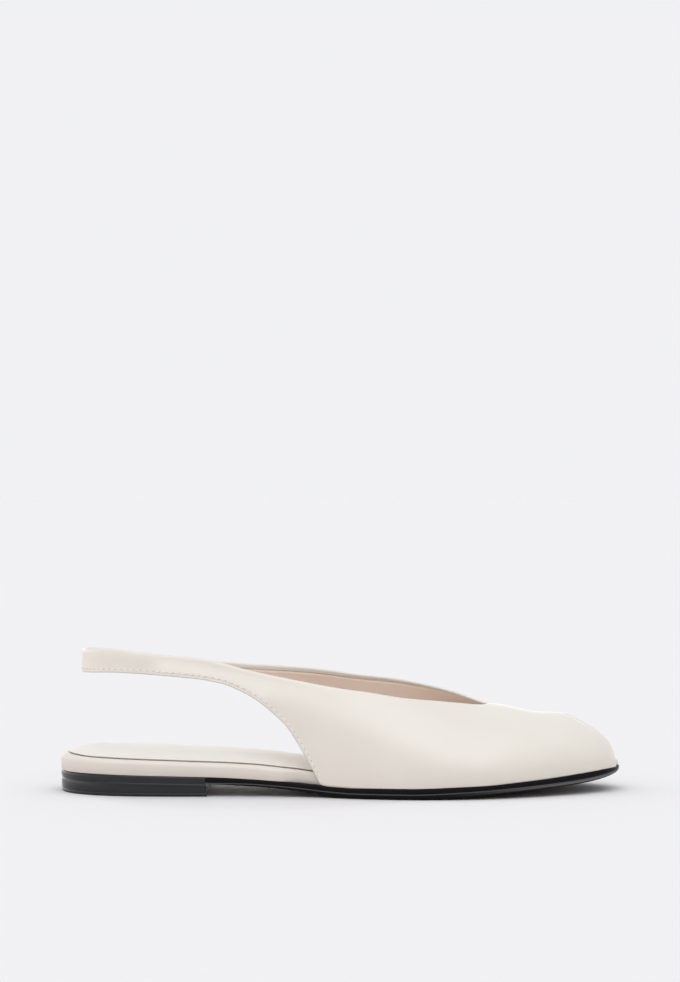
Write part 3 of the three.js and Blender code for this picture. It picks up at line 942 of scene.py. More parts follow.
    def _opening_share(self, t: Array, half: Array, side: Side) -> Array:
        """Return the share of the height where the wall is a distance from the centre line.

        Args:
            t: Share of the length.
            half: Distance from the centre line.
            side: Side of the shoe.

        Returns:
            The share at each place.
        """
        low, high = np.zeros_like(t), np.ones_like(t)
        for _ in range(HALVINGS):
            middle = (low + high) / 2.0
            outside = self.last.reach(t, middle, side.value) > half
            low = np.where(outside, middle, low)
            high = np.where(outside, high, middle)
        return high

    def _number(self, side: Side, i: int, j: int) -> int:
        """Return the vertex number of column i and row j, shared where the sides join."""
        joined = i == 0 or (j == self.rows and self.throat <= i <= self.apex)
        base = self.count if side is Side.MEDIAL and not joined else 0
        return base + i * (self.rows + 1) + j

    def _chains(self) -> None:
        """List the vertices of topline, lower edge and toe opening, with edge kinds."""
        number, rows, end = self._number, self.rows, self.last_column
        lateral, medial = Side.LATERAL, Side.MEDIAL
        self.topline = [number(lateral, i, rows) for i in range(self.throat + 1)]
        self.topline += [number(medial, i, rows) for i in range(self.throat - 1, 0, -1)]
        self.lower = [number(lateral, i, 0) for i in range(end, -1, -1)]
        self.lower += [number(medial, i, 0) for i in range(1, end + 1)]
        self.opening = [number(medial, end, j) for j in range(1, rows + 1)]
        self.opening += [number(medial, i, rows) for i in range(end - 1, self.apex, -1)]
        self.opening += [number(lateral, i, rows) for i in range(self.apex, end + 1)]
        self.opening += [number(lateral, end, j) for j in range(rows - 1, 0, -1)]
        cut = [abs(k - end) < self.cut_ends for k in range(len(self.lower))]
        self.kinds = {
            "topline": [Edge.TURNED] * len(self.topline),
            "lower": [Edge.CUT if flag else Edge.LASTED for flag in cut],
            "opening": [Edge.TIGHT] * len(self.opening),
        }
        self.outward = {name: self._outward(name) for name in self.kinds}

    def _outward(self, name: str) -> Array:
        """Return the direction off the leather at each vertex of an edge.

        Args:
            name: Name of the edge's chain.

        Returns:
            Unit vectors in the surface and square to the edge.
        """
        chain = getattr(self, name)
        points = self.points[chain]
        if name == "topline":
            along = np.roll(points, -1, axis=0) - np.roll(points, 1, axis=0)
        else:
            along = np.gradient(points, axis=0)
        out = unit(np.cross(along, self.normals[chain]))
        # A vertex well along one side, against its neighbour one row further in
        probe = len(chain) * 3 // 8
        inner = chain[probe] + 1 if name == "lower" else chain[probe] - 1
        off = points[probe] - self.points[inner]
        return out if np.dot(out[probe], off) > 0 else -out

    def _near(self, name: str) -> tuple[Array, Array]:
        """Measure every vertex against an edge.

        Args:
            name: Name of the edge's chain.

        Returns:
            The fade at each vertex, 1 on the edge, and the edge position nearest to it.
        """
        chain = self.points[getattr(self, name)]
        if name == "topline":
            chain = np.vstack((chain, chain[:1]))
        start, run = chain[:-1], np.diff(chain, axis=0)
        square = np.maximum((run * run).sum(axis=1), 1e-12)
        fade = np.zeros(len(self.points))
        place = np.zeros(len(self.points))
        # In batches, because every vertex is measured against every stretch of the edge
        batch = 2000
        for first in range(0, len(self.points), batch):
            part = self.points[first : first + batch]
            gap = part[:, None, :] - start[None]
            share = np.clip((gap * run).sum(axis=2) / square, 0.0, 1.0)
            distance = np.linalg.norm(gap - share[..., None] * run, axis=2)
            best = distance.argmin(axis=1)
            row = np.arange(len(part))
            near = np.maximum(1.0 - distance[row, best] / self.edge_reach, 0.0)
            fade[first : first + batch] = near**2
            place[first : first + batch] = best + share[row, best]
        return fade, place

    def _at(self, values: Array, place: Array, closed: bool) -> Array:
        """Read values along an edge at positions between its vertices."""
        if closed:
            values = np.concatenate((values, values[:1]))
        i = np.minimum(place.astype(int), len(values) - 2)
        share = (place - i).reshape(-1, *([1] * (values.ndim - 1)))
        return values[i] * (1.0 - share) + values[i + 1] * share

    def _layer(
        self, top: float, wall: float, rims: dict[Edge, Rim]
    ) -> tuple[Array, list[tuple[int, ...]], list[int]]:
        """Build a closed layer of the upper with shaped edges.

        Args:
            top: Depth of its outer face below the last's surface.
            wall: Thickness of the layer.
            rims: Cross-section of each kind of edge.

        Returns:
            Vertices in millimetres, faces, and each face's zone: 1 on the cut edge, else 0.
        """
        outer = self.points - self.normals * top
        inner = self.points - self.normals * (top + wall)
        moves = {}
        for name in self.kinds:
            fade, place = self._near(name)
            closed = name == "topline"
            off = self._at(self.outward[name], place, closed) * fade[:, None]
            start = self._at(self._soft([rims[k].start for k in self.kinds[name]]), place, closed)
            end = self._at(self._soft([rims[k].end for k in self.kinds[name]]), place, closed)
            moves[name] = (off * start[:, None], off * end[:, None])
            outer = outer - moves[name][0]
            inner = inner - moves[name][1]
        total = len(self.points)
        points = [outer, inner]
        faces = self._sheet_faces(total)
        fresh = 2 * total
        rings: dict[int, list[int]] = {}
        for name in self.kinds:
            chain = getattr(self, name)
            profile = np.array([rims[k].points for k in self.kinds[name]])
            for axis in range(2):
                for step in range(self.rim_steps):
                    profile[:, step, axis] = self._soft(profile[:, step, axis])
            others = [moves[n] for n in moves if n != name]
            for step in range(self.rim_steps):
                share = (step + 1) / (self.rim_steps + 1)
                made = self.points[chain] - self.outward[name] * profile[:, step, :1]
                made = made - self.normals[chain] * profile[:, step, 1:]
                for start, end in others:
                    made = made - start[chain] * (1.0 - share) - end[chain] * share
                points.append(made)
                for k, vertex in enumerate(chain):
                    rings.setdefault(vertex, [vertex]).append(fresh + k)
                fresh += len(chain)
        for vertex, ring in rings.items():
            ring.append(vertex + total)
        zones = [0] * len(faces)
        kinds = self.kinds
        loops = (
            (self.topline, kinds["topline"]),
            (self.lower + self.opening, kinds["lower"] + kinds["opening"]),
        )
        for loop, edges in loops:
            for k, vertex in enumerate(loop):
                strip = self._strip(rings[vertex], rings[loop[(k + 1) % len(loop)]])
                faces += strip
                zones += [int(edges[k] is Edge.CUT)] * len(strip)
        return np.vstack(points), faces, zones

    def _soft(self, values: Sequence[float]) -> Array:
        """Smooth values along an edge where its kind changes."""
        values = np.array(values, float)
        for _ in range(self.soft_passes):
            padded = np.concatenate((values[:1], values, values[-1:]))
            values = (padded[:-2] + 2.0 * values + padded[2:]) / 4.0
        return values

    def _strip(self, first: list[int], second: list[int]) -> list[tuple[int, ...]]:
        """Join two rings of an edge with faces that point outwards."""
        pairs = range(len(first) - 1)
        return [(second[k], second[k + 1], first[k + 1], first[k]) for k in pairs]

    def _sheet_faces(self, total: int) -> list[tuple[int, ...]]:
        """Return the faces of the outer sheet and of the inner sheet under it."""
        faces = []
        for side in Side:
            for i in range(self.last_column):
                for j in range(self.rows):
                    face = [
                        self._number(side, i, j),
                        self._number(side, i + 1, j),
                        self._number(side, i + 1, j + 1),
                        self._number(side, i, j + 1),
                    ]
                    face = face if side is Side.LATERAL else face[::-1]
                    faces.append(tuple(face))
                    faces.append(tuple(n + total for n in face[::-1]))
        return faces

    def rims_of_leather(self) -> dict[Edge, Rim]:
        """Return the leather's edges: folded, cut and lasted."""
        wall, steps = self.leather, self.rim_steps
        flat = [(-self.lasted_drop, wall * k / (steps + 1)) for k in range(1, steps + 1)]
        return {
            Edge.TURNED: self._folded(self.turned_round, self.roll_height),
            Edge.TIGHT: self._folded(self.tight_round, self.tight_roll),
            Edge.CUT: Rim(wall / 2, wall / 2, half_round(wall / 2, 0.0, wall / 2, steps)),
            Edge.LASTED: Rim(-self.lasted_drop, -self.lasted_drop, flat),
        }

    def _folded(self, turn: float, roll: float) -> Rim:
        """Return a folded edge: a roll, then the skived margin flat on the inner face.

        Args:
            turn: Radius of the roll through the wall.
            roll: Length of the roll's outer half along the surface.

        Returns:
            The edge's cross-section.
        """
        fold = []
        for distance, depth in half_round(turn, 0.0, turn, self.rim_steps - 4):
            fold.append((distance * (roll / turn if depth < turn else 1.0), depth))
        margin = self.turned_margin
        fold.append((self.fold_flat * turn, 2 * turn))
        fold.append((margin - self.skive, 2 * turn - self.skive_middle))
        fold.append((margin, 2 * turn - self.skive_end))
        fold.append((margin + self.margin_step, self.leather + self.margin_rest))
        return Rim(roll, margin + self.margin_close, fold)

    def rims_of_lining(self) -> dict[Edge, Rim]:
        """Return the lining's edges: below the folded margin, flush at the cut, lasted."""
        wall, steps, top = self.lining, self.rim_steps, self.leather
        upper = self.turned_margin + self.lining_gap
        flat = [(-self.lasted_drop, top + wall * k / (steps + 1)) for k in range(1, steps + 1)]
        bevel = []
        for k in range(1, steps + 1):
            angle = math.pi / 2 * k / (steps + 1)
            back = self.lining_bevel * (1.0 - math.cos(angle))
            bevel.append((upper + back, top + wall * math.sin(angle)))
        return {
            Edge.TURNED: Rim(upper, upper + self.lining_bevel, bevel),
            Edge.TIGHT: Rim(upper, upper + self.lining_bevel, bevel),
            Edge.CUT: Rim(wall / 2, wall / 2, half_round(wall / 2, top, wall / 2, steps)),
            Edge.LASTED: Rim(-self.lasted_drop, -self.lasted_drop, flat),
        }

    def build(self) -> list[bpy.types.Object]:
        """Build leather, lining and stitches.

        Returns:
            The finished pieces.
        """
        # The cut edge's greyer colour is painted shade along its rounded edge
        edge_shade = CUT_EDGE_PAINTED_SHADE.material()
        layers = (
            ("upper_leather", UPPER_LEATHER, 0.0, self.leather, self.rims_of_leather()),
            ("upper_lining", LINING_LEATHER, self.leather, self.lining, self.rims_of_lining()),
        )
        pieces = []
        for name, finish, top, wall, rims in layers:
            points, faces, zones = self._layer(top, wall, rims)
            piece = mesh_object(name, *tidy(points, faces), self.last, zones)
            piece.data.materials.append(finish.material())
            piece.data.materials.append(edge_shade)
            pieces.append(piece)
        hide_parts("upper")
        pieces += self._stitches()
        return pieces

    def _stitches(self) -> list[bpy.types.Object]:
        """Sew along the cut edge: threads, with a needle hole between each two."""
        first = self.last_column - self.cut_ends + 2
        span = slice(first, len(self.lower) - first)
        chain = self.lower[span]
        path = self.points[chain] - self.outward["lower"][span] * self.stitch_inset
        line = (path + self.last.shift) * MM
        pieces = []
        hole = (self.thread * self.hole_width, self.thread * self.hole_length)
        kinds = (
            ("stitch_thread", THREAD, 0.0, self.thread / 2, self.stitch_length / 2),
            ("needle_holes", NEEDLE_HOLE, 0.5, *hole),
        )
        for name, finish, phase, radius, half in kinds:
            seam = StitchLine(self.stitch_pitch, phase, radius, half)
            piece = seam.build(name, line, finish.material())
            pieces.append(piece)
        return pieces


@dataclass
class StitchLine:
    """A row of like beads along a line, made by Geometry Nodes. Sizes in millimetres."""

    pitch: float
    phase: float
    radius: float
    half_length: float

    def build(self, name: str, line: Array, material: bpy.types.Material) -> bpy.types.Object:
        """Set beads along a line and turn them into a plain mesh.

        Args:
            name: Name of the piece.
            line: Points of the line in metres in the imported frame.
            material: Material of the beads.

        Returns:
            The finished piece.
        """
        mesh = bpy.data.meshes.new(name + "_line")
        edges = [(k, k + 1) for k in range(len(line) - 1)]
        mesh.from_pydata(line.tolist(), edges, [])
        carrier = bpy.data.objects.new(name + "_line", mesh)
        bpy.context.scene.collection.objects.link(carrier)
        tree, sockets = self._tree(name + "_nodes")
        modifier = carrier.modifiers.new("stitches", "NODES")
        modifier.node_group = tree
        modifier[sockets["Pitch"]] = self.pitch * MM
        modifier[sockets["Phase"]] = self.phase
        modifier[sockets["Radius"]] = self.radius * MM
        modifier[sockets["Half Length"]] = self.half_length * MM
        modifier[sockets["Material"]] = material
        graph = bpy.context.evaluated_depsgraph_get()
        made = bpy.data.meshes.new_from_object(carrier.evaluated_get(graph))
        bpy.data.objects.remove(carrier)
        made.name = name
        piece = bpy.data.objects.new(name, made)
        bpy.context.scene.collection.objects.link(piece)
        return piece

    def _tree(self, name: str) -> tuple[bpy.types.NodeTree, dict[str, str]]:
        """Build the node tree.

        Args:
            name: Name of the tree.

        Returns:
            The tree, and the identifier of each input by its name.
        """
        tree = bpy.data.node_groups.new(name, "GeometryNodeTree")
        sockets = {}
        inputs = (
            ("Geometry", "NodeSocketGeometry"),
            ("Pitch", "NodeSocketFloat"),
            ("Phase", "NodeSocketFloat"),
            ("Radius", "NodeSocketFloat"),
            ("Half Length", "NodeSocketFloat"),
            ("Material", "NodeSocketMaterial"),
        )
        for label, kind in inputs:
            made = tree.interface.new_socket(label, in_out="INPUT", socket_type=kind)
            sockets[label] = made.identifier
        tree.interface.new_socket("Geometry", in_out="OUTPUT", socket_type="NodeSocketGeometry")
        given = add_node(tree, "NodeGroupInput").outputs
        curve = add_node(tree, "GeometryNodeMeshToCurve", links={"Mesh": given["Geometry"]})
        length = add_node(tree, "GeometryNodeCurveLength", links={0: curve.outputs[0]})
        shift = add_node(
            tree,
            "ShaderNodeMath",
            links={0: given["Pitch"], 1: given["Phase"]},
            operation="MULTIPLY",
        )
        trimmed = add_node(
            tree,
            "GeometryNodeTrimCurve",
            links={
                "Curve": curve.outputs[0],
                "Start_001": shift.outputs[0],
                "End_001": length.outputs[0],
            },
            mode="LENGTH",
        )
        steps = add_node(
            tree,
            "GeometryNodeCurveToPoints",
            links={"Curve": trimmed.outputs[0], "Length": given["Pitch"]},
            mode="LENGTH",
        )
        bead = add_node(
            tree, "GeometryNodeMeshUVSphere", {"Segments": 8, "Rings": 6, "Radius": 1.0}
        )
        size = add_node(
            tree,
            "ShaderNodeCombineXYZ",
            links={"X": given["Radius"], "Y": given["Radius"], "Z": given["Half Length"]},
        )
        placed = add_node(
            tree,
            "GeometryNodeInstanceOnPoints",
            links={
                "Points": steps.outputs["Points"],
                "Instance": bead.outputs["Mesh"],
                "Rotation": steps.outputs["Rotation"],
                "Scale": size.outputs["Vector"],
            },
        )
        real = add_node(tree, "GeometryNodeRealizeInstances", links={0: placed.outputs[0]})
        smooth = add_node(tree, "GeometryNodeSetShadeSmooth", links={0: real.outputs[0]})
        dressed = add_node(
            tree,
            "GeometryNodeSetMaterial",
            links={"Geometry": smooth.outputs[0], "Material": given["Material"]},
        )
        add_node(tree, "NodeGroupOutput", links={0: dressed.outputs[0]})
        return tree, sockets


def tidy(points: Array, faces: list[tuple[int, ...]]) -> tuple[Array, list[tuple[int, ...]]]:
    """Drop vertices that no face uses.

    Args:
        points: Vertices.
        faces: Vertex numbers of each face.

    Returns:
        The vertices in use and the faces with their new numbers.
    """
    used = np.zeros(len(points), bool)
    for face in faces:
        used[list(face)] = True
    fresh = np.cumsum(used) - 1
    return points[used], [tuple(int(fresh[n]) for n in face) for face in faces]


Level = tuple[Callable[[Array], Array], Callable[[Array], Array]]


@dataclass
class Slab:
    """Piece between rings of the plan outline, each with an inset and a height."""

    last: Last
    end: float = 1.0
    steps: int = 120

    def build(self, name: str, levels: list[Level]) -> bpy.types.Object:
        """Stack the rings and close bottom and top with faces across.

        Args:
            name: Name of the piece.
            levels: Inset and height of each ring along the length, from the bottom up.

        Returns:
            The mesh object.
        """
        step = np.linspace(0.0, 1.0, self.steps + 1)
        whole = self.end == 1.0
        if whole:
            t = (1.0 - np.cos(np.pi * step)) / 2.0
        else:
            t = self.end * (1.0 - np.cos(np.pi / 2.0 * step))
        stop = self.steps if whole else self.steps + 1
        rings = []
        for inset, height in levels:
            near = self.last.outline(t, Side.LATERAL, inset(t))
            far = self.last.outline(t, Side.MEDIAL, inset(t))
            level = height(t)[:, None]
            ring = np.vstack((np.hstack((near, level)), np.hstack((far, level))[1:stop][::-1]))
            rings.append(ring)
        count = len(rings[0])
        faces = []
        for k in range(len(rings) - 1):
            for n in range(count):
                m = (n + 1) % count
                low, high = k * count, (k + 1) * count
                faces.append((low + n, low + m, high + m, high + n))
        top = (len(rings) - 1) * count
        for n in range(self.steps):
            other, beyond = (count - n) % count, (count - n - 1) % count
            corners = [n, other, beyond, n + 1]
            corners = list(dict.fromkeys(corners))
            if len(corners) > 2:
                faces.append(tuple(corners))
                faces.append(tuple(top + c for c in corners[::-1]))
        return mesh_object(name, np.vstack(rings), faces, self.last)


@dataclass
class SoleUnit:
    """Outsole, heel block and top piece, cemented on each other."""

    last: Last
    breast: float = 0.264
    heel_inset: float = 0.05
    top_piece: float = 1.5
    joint: float = 0.02
    bead: float = 0.14
    bead_low: float = 0.08
    bead_high: float = 0.3
    bead_top: float = 0.4
    bead_fade: float = 0.02
    side_swell: float = 0.24
    top_break: float = 0.15
    round_stretch: float = 1.1
    block_break: float = 0.05
    tread_break: float = 0.5
    tread_swell: float = 0.06
    tread_top_break: float = 0.04
    line_starts: float = 0.266
    facing_down: float = -0.97
    sharp_angle: float = 40.0
    heel_steps: int = 70
    round_steps: int = 8
    # Numbers of the outsole's rings of faces, from the floor up
    rounded_rings: tuple[int, ...] = (5, 6, 7)
    bead_rings: tuple[int, ...] = (8, 9, 10)

    def build(self) -> list[bpy.types.Object]:
        """Build the three rubber pieces.

        Returns:
            The finished pieces.
        """
        outsole, block, tread = self._outsole(), self._heel_block(), self._top_piece()
        # In the order of SoleZone
        finishes = (SOLE_RUBBER, HIGHLIGHT_LINE_RUBBER, HEEL_RUBBER, TREAD_RUBBER, EDGE_REFLECTION_RUBBER)
        made = [finish.material() for finish in finishes]
        for material in made:
            outsole.data.materials.append(material)
        self._zones(outsole)
        for piece in (block, tread):
            piece.data.materials.append(made[SoleZone.OVER_HEEL])
            piece.data.materials.append(made[SoleZone.TREAD])
        for face in tread.data.polygons:
            face.material_index = int(face.normal.z < self.facing_down)
        for piece, node, slot in (
            (outsole, "outsole", "sole_rubber"),
            (block, "heel_block", "heel_rubber"),
            (tread, "top_piece", "heel_rubber"),
        ):
            piece.data.set_sharp_from_angle(angle=math.radians(self.sharp_angle))
            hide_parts(node)
        return [outsole, block, tread]

    def _zones(self, outsole: bpy.types.Object) -> None:
        """Give each part of the outsole its own finish, with painted highlight and painted light
        on two of them.

        Args:
            outsole: The outsole, with its materials in the order of SoleZone.
        """
        edge = (self.breast * self.last.length + self.last.shift[0]) * MM
        front = (self.line_starts * self.last.length + self.last.shift[0]) * MM
        # A ring has one vertex for each step on either side; a face across lies in one ring
        ring_size = 2 * Slab.steps
        for face in outsole.data.polygons:
            ring = min(face.vertices) // ring_size
            across = max(face.vertices) // ring_size == ring
            if face.normal.z < self.facing_down:
                face.material_index = SoleZone.TREAD
            elif face.center.x < edge:
                face.material_index = SoleZone.OVER_HEEL
            # Painted highlight: grey faces along the bead, from the waist forward
            elif face.center.x > front and ring in self.bead_rings and not across:
                face.material_index = SoleZone.PAINTED_HIGHLIGHT_LINE
            # Painted light and reflection from the floor on the rounded lower edge
            elif ring in self.rounded_rings and not across:
                face.material_index = SoleZone.ROUNDED_EDGE

    def _outsole(self) -> bpy.types.Object:
        """Build the outsole: rounded lower edge, a fine bead and a straight side."""
        last = self.last
        low, margin = last.underside, last.sole_margin
        breast, fade = self.breast, self.breast + self.bead_fade

        def turned(t: Array) -> Array:
            """Return the height of the rounded lower edge."""
            return last.sole_round(t) * self.round_stretch

        levels: list[Level] = []
        for sine, cosine in quarter_turn(self.round_steps):
            share, rise = 1.0 - sine, 1.0 - cosine
            levels.append(
                (
                    lambda t, share=share: last.sole_round(t) * share - margin,
                    lambda t, rise=rise: low(t) + turned(t) * rise,
                )
            )
        bead = ((self.bead, self.bead_low), (self.bead, self.bead_high), (0.0, self.bead_top))
        for out, rise in bead:
            levels.append(
                (
                    lambda t, out=out: -margin - out * soft_step(breast, fade, t),
                    lambda t, rise=rise: low(t) + turned(t) + rise,
                )
            )

        def side_top(t: Array) -> Array:
            """Return the height where the side ends and its upper edge is broken."""
            return last.feather(t) - self.top_break

        for k in range(1, 6):
            share = k / 6
            out = self.side_swell * math.sin(math.pi * share)
            levels.append(
                (
                    steady(-margin - out),
                    lambda t, share=share: (low(t) + turned(t) + self.bead_top) * (1.0 - share)
                    + side_top(t) * share,
                )
            )
        levels.append((steady(-margin), side_top))
        levels.append((steady(self.top_break - margin), last.feather))
        return Slab(last).build("outsole_rubber", levels)

    def _heel_block(self) -> bpy.types.Object:
        """Build the heel block with softly broken edges."""
        last, broken = self.last, self.block_break
        base = self.top_piece + self.joint

        def top(t: Array) -> Array:
            """Return the height of the block's top, just under the outsole."""
            return last.underside(t) - self.joint

        levels: list[Level] = [(steady(self.heel_inset + broken), steady(base))]
        for k in range(7):
            share = k / 6
            out = self.side_swell * math.sin(math.pi * share)
            levels.append(
                (
                    steady(self.heel_inset - out),
                    lambda t, share=share: (base + broken) * (1.0 - share)
                    + (top(t) - broken) * share,
                )
            )
        levels.append((steady(self.heel_inset + broken), top))
        return Slab(last, self.breast, self.heel_steps).build("heel_block_rubber", levels)

    def _top_piece(self) -> bpy.types.Object:
        """Build the top piece with a rounded tread edge."""
        inset, broken, top = self.heel_inset, self.tread_break, self.top_piece
        upper = self.tread_top_break
        levels: list[Level] = [
            (steady(inset + broken), steady(0.0)),
            (steady(inset + broken * 0.3), steady(broken * 0.3)),
            (steady(inset), steady(broken)),
            (steady(inset - self.tread_swell), steady((broken + top) / 2.0)),
            (steady(inset), steady(top - upper)),
            (steady(inset + upper), steady(top)),
        ]
        return Slab(self.last, self.breast, self.heel_steps).build("top_piece_rubber", levels)


@dataclass
class Insole:
    """Footbed board wrapped in leather, with the padded sock on top."""

    last: Last
    overhang: float = 0.3
    edge_round: float = 2.2
    wall: float = 1.6
    upper_starts: float = 0.385
    upper_full: float = 0.43
    tip_open: float = 0.988
    sock: float = 2.2
    sock_inset: float = 3.0
    sock_crown: float = 2.7
    seam_gap: float = 0.4
    joint: float = 0.05
    bed_break: float = 0.2
    bed_round_loss: float = 0.6
    sock_pull_in: float = 0.75
    sock_foot: float = 1.3
    crown_span: float = 8.0
    crown_span_heel: float = 7.0
    heel_opens: tuple[float, float] = (0.42, 0.62)
    round_steps: int = 8
    side_steps: int = 10
    side_starts: float = 0.35
    side_turn: float = 1.3
    side_sink: float = 0.7

    def bed_inset(self, t: Array) -> Array:
        """Return the footbed's inset: proud at the heel, inside the upper in front."""
        inside = self.wall + self.last.clearance
        step = soft_step(self.upper_starts, self.upper_full, t)
        tip = soft_step(self.tip_open, 1.0, t) * (inside - self.last.clearance)
        return -self.overhang + (inside + self.overhang) * step - tip

    def bed_round(self, t: Array) -> Array:
        """Return the rounding of the footbed's upper edge, which fades inside the upper."""
        inside = soft_step(self.upper_starts, self.upper_full, t)
        return self.edge_round * (1.0 - self.bed_round_loss * inside)

    def build(self) -> list[bpy.types.Object]:
        """Build footbed and sock.

        Returns:
            The finished pieces.
        """
        bed, sock = self._footbed(), self._sock()
        bed.data.materials.append(FOOTBED_LEATHER.material())
        sock.data.materials.append(SOCK_LEATHER.material())
        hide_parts("footbed")
        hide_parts("sock")
        return [bed, sock]

    def _footbed(self) -> bpy.types.Object:
        """Build the wrapped board with its rounded upper edge."""
        last = self.last
        levels: list[Level] = [
            (
                lambda t: self.bed_inset(t) + self.bed_break,
                lambda t: last.feather(t) + self.joint,
            ),
            (self.bed_inset, lambda t: last.feather(t) + self.joint + self.bed_break),
        ]
        for sine, cosine in quarter_turn(self.round_steps):
            share, drop = 1.0 - cosine, 1.0 - sine
            levels.append(
                (
                    lambda t, share=share: self.bed_inset(t) + self.bed_round(t) * share,
                    lambda t, drop=drop: last.bed_top(t) - self.bed_round(t) * drop,
                )
            )
        return Slab(last).build("footbed_leather", levels)

    def _sock(self) -> bpy.types.Object:
        """Build the padded sock: a round side that pulls in at the seam, then a soft crown."""
        last = self.last
        base = last.bed_top
        top = self.sock + last.clearance
        side = top - self.sock_crown * 0.5
        seam, lip = self.joint, self.seam_gap

        def inset(t: Array) -> Array:
            """Return the inset of the sock's seam."""
            return self.bed_inset(t) + self.sock_inset

        def open_heel(t: Array) -> Array:
            """Return 1 at the open heel seat, falling to 0 inside the upper."""
            return 1.0 - soft_step(*self.heel_opens, t)

        def crown_run(t: Array) -> Array:
            """Return the width over which the crown rises from the side."""
            return self.crown_span + self.crown_span_heel * open_heel(t)

        def crown(t: Array) -> Array:
            """Return the height of the crown over the side."""
            return self.sock_crown * (0.5 + 0.5 * open_heel(t))

        pull = side * self.sock_pull_in
        levels: list[Level] = [(lambda t: inset(t) + self.sock_foot, lambda t: base(t) + seam)]
        # The side bulges round: from under the seam, out, and back in at the top
        for k in range(self.side_steps + 1):
            angle = math.pi * (k / self.side_steps - self.side_starts) / self.side_turn
            out = math.cos(angle)
            rise = (math.sin(angle) + self.side_sink) / (1.0 + self.side_sink)
            levels.append(
                (
                    lambda t, out=out: inset(t) + pull * (1.0 - out),
                    lambda t, rise=rise: base(t) + lip + (side - lip) * rise,
                )
            )
        for k in range(1, self.side_steps + 1):
            share = k / self.side_steps
            levels.append(
                (
                    lambda t, share=share: inset(t) + pull + crown_run(t) * share,
                    lambda t, share=share: base(t)
                    + side
                    + crown(t) * math.sin(share * math.pi / 2),
                )
            )
        return Slab(last).build("sock_nappa", levels)


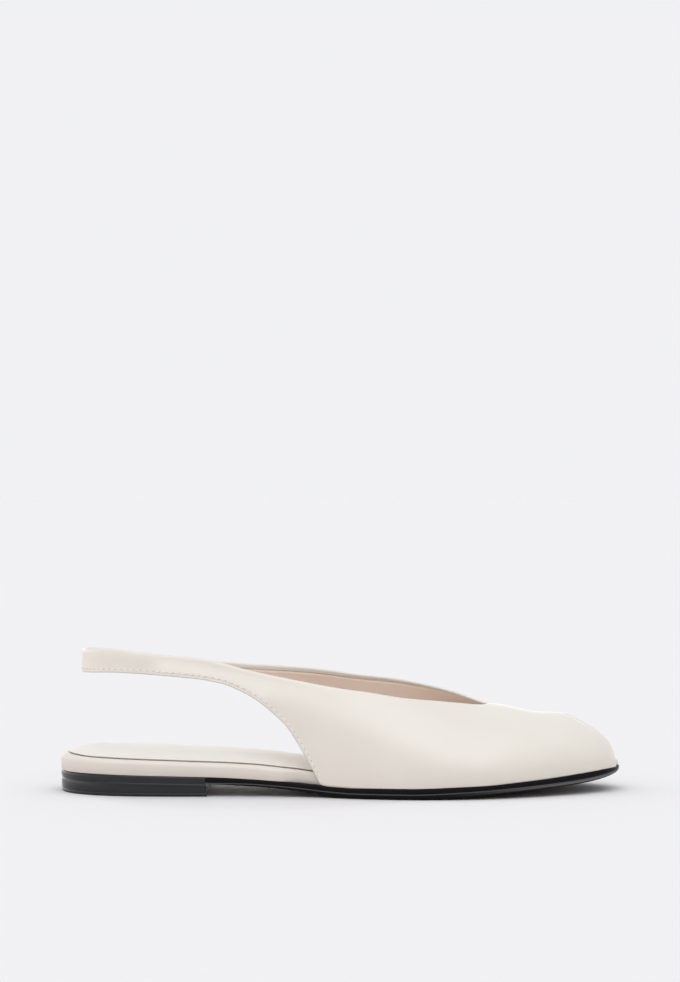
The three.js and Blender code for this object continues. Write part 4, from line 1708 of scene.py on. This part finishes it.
@dataclass
class Studio:
    """Pale floor, even daylight from a large soft ceiling, and the level camera."""

    background: str = "f1f1f3"
    floor_size: float = 60.0
    camera_place: tuple[float, float, float] = (-0.0003, -1.14884, 0.134)
    lens: float = 93.92
    floor_colour: str = "e1dcdc"
    satin: float = 0.22
    satin_place: tuple[float, float, float] = (-0.035, 0.0, 0.0)
    satin_reach: tuple[float, float] = (0.045, 0.08)
    low_tint: str = "fff6ec"
    high_tint: str = "f6fcff"
    bright_side: tuple[float, float, float] = (-0.6, 0.8, 0.0)
    front: float = 0.4
    back: float = 2.4
    side_reach: tuple[float, float] = (-0.8, 0.8)
    front_top: float = 0.34
    ceiling: float = 0.94
    softbox: tuple[float, float, float] = (0.0, -0.5, 0.87)
    softbox_edge: float = 0.72
    softbox_power: float = 1.4

    def build(self) -> None:
        """Build floor, light and camera."""
        self._floor()
        self._world()
        self._camera()
        bpy.context.scene.view_settings.view_transform = "Standard"

    def _floor(self) -> None:
        """Lay the floor: matt, with a soft satin patch that lifts the gap under the waist."""
        half = self.floor_size / 2.0
        corners = [(-half, -half, 0.0), (half, -half, 0.0), (half, half, 0.0), (-half, half, 0.0)]
        mesh = bpy.data.meshes.new("floor")
        mesh.from_pydata(corners, [], [(0, 1, 2, 3)])
        floor = bpy.data.objects.new("floor", mesh)
        bpy.context.scene.collection.objects.link(floor)
        made, tree, shader = new_material("matt_paper_floor")
        place = add_node(tree, "ShaderNodeTexCoord").outputs["Object"]
        gap = add_node(
            tree,
            "ShaderNodeVectorMath",
            {1: self.satin_place},
            {0: place},
            operation="DISTANCE",
        )
        satin = self._ramp(tree, gap.outputs["Value"], self.satin_reach, (self.satin, 0.0))
        tree.links.new(satin, shader.inputs["Specular IOR Level"])
        shader.inputs["Base Color"].default_value = linear(self.floor_colour)
        shader.inputs["Roughness"].default_value = 0.5
        mesh.materials.append(made)

    def _world(self) -> None:
        """Light the scene evenly, brighter from above, behind a plain background."""
        world = bpy.data.worlds.new("studio")
        world.use_nodes = True
        bpy.context.scene.world = world
        tree = world.node_tree
        tree.nodes.clear()
        place = add_node(tree, "ShaderNodeTexCoord").outputs["Generated"]
        parts = add_node(tree, "ShaderNodeSeparateXYZ", links={"Vector": place}).outputs
        across = add_node(
            tree,
            "ShaderNodeVectorMath",
            {1: tuple(Vector(self.bright_side).normalized())},
            {0: place},
            operation="DOT_PRODUCT",
        )
        low = self._ramp(tree, across.outputs["Value"], self.side_reach, (self.front, self.back))
        rise = self._ramp(tree, parts["Z"], (0.0, self.front_top), (0.0, 1.0))
        light = add_node(
            tree,
            "ShaderNodeMix",
            {3: self.ceiling},
            {0: rise, 2: low},
            data_type="FLOAT",
        )
        facing = add_node(
            tree,
            "ShaderNodeVectorMath",
            {1: tuple(Vector(self.softbox).normalized())},
            {0: place},
            operation="DOT_PRODUCT",
        )
        spread, power = (self.softbox_edge, 1.0), (0.0, self.softbox_power)
        glow = self._ramp(tree, facing.outputs["Value"], spread, power)
        total = add_node(
            tree, "ShaderNodeMath", links={0: light.outputs[0], 1: glow}, operation="ADD"
        )
        tint = add_node(
            tree,
            "ShaderNodeMix",
            {6: linear(self.low_tint), 7: linear(self.high_tint)},
            {0: rise},
            data_type="RGBA",
        )
        sky = add_node(tree, "ShaderNodeBackground", links={"Color": tint.outputs[2]})
        tree.links.new(total.outputs[0], sky.inputs["Strength"])
        plain = add_node(
            tree, "ShaderNodeBackground", {"Color": linear(self.background), "Strength": 1.0}
        )
        seen = add_node(tree, "ShaderNodeLightPath").outputs["Is Camera Ray"]
        both = add_node(
            tree,
            "ShaderNodeMixShader",
            links={0: seen, 1: sky.outputs[0], 2: plain.outputs[0]},
        )
        add_node(tree, "ShaderNodeOutputWorld", links={"Surface": both.outputs[0]})

    @staticmethod
    def _ramp(
        tree: bpy.types.NodeTree,
        value: bpy.types.NodeSocket,
        reach: tuple[float, float],
        result: tuple[float, float],
    ) -> bpy.types.NodeSocket:
        """Turn a value softly into another one.

        Args:
            tree: Node tree that takes the node.
            value: Output with the value.
            reach: Values where the change starts and ends.
            result: Results there.

        Returns:
            The output with the result.
        """
        values = dict(zip(("From Min", "From Max", "To Min", "To Max"), (*reach, *result)))
        made = add_node(
            tree,
            "ShaderNodeMapRange",
            values,
            {"Value": value},
            interpolation_type="SMOOTHSTEP",
        )
        return made.outputs["Result"]

    def _camera(self) -> None:
        """Set the camera level, looking straight at the shoe's lateral side."""
        data = bpy.data.cameras.new("camera")
        data.lens = self.lens
        data.sensor_width = 36.0
        data.clip_end = 100.0
        camera = bpy.data.objects.new("camera", data)
        camera.location = self.camera_place
        camera.rotation_euler = (math.pi / 2.0, 0.0, 0.0)
        bpy.context.scene.collection.objects.link(camera)
        bpy.context.scene.camera = camera


def main() -> None:
    """Load the frame, build each part of the shoe and log each piece's face count."""
    logging.basicConfig(level=logging.INFO, format="%(name)s: %(message)s")
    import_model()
    last = Last()
    last.fit(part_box("outsole")[0])
    Studio().build()
    for assembly in (SoleUnit(last), Insole(last), Upper(last)):
        for piece in assembly.build():
            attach(piece, BODY)
            log.info("%s: %d faces", piece.name, len(piece.data.polygons))


if __name__ == "__main__":
    main()
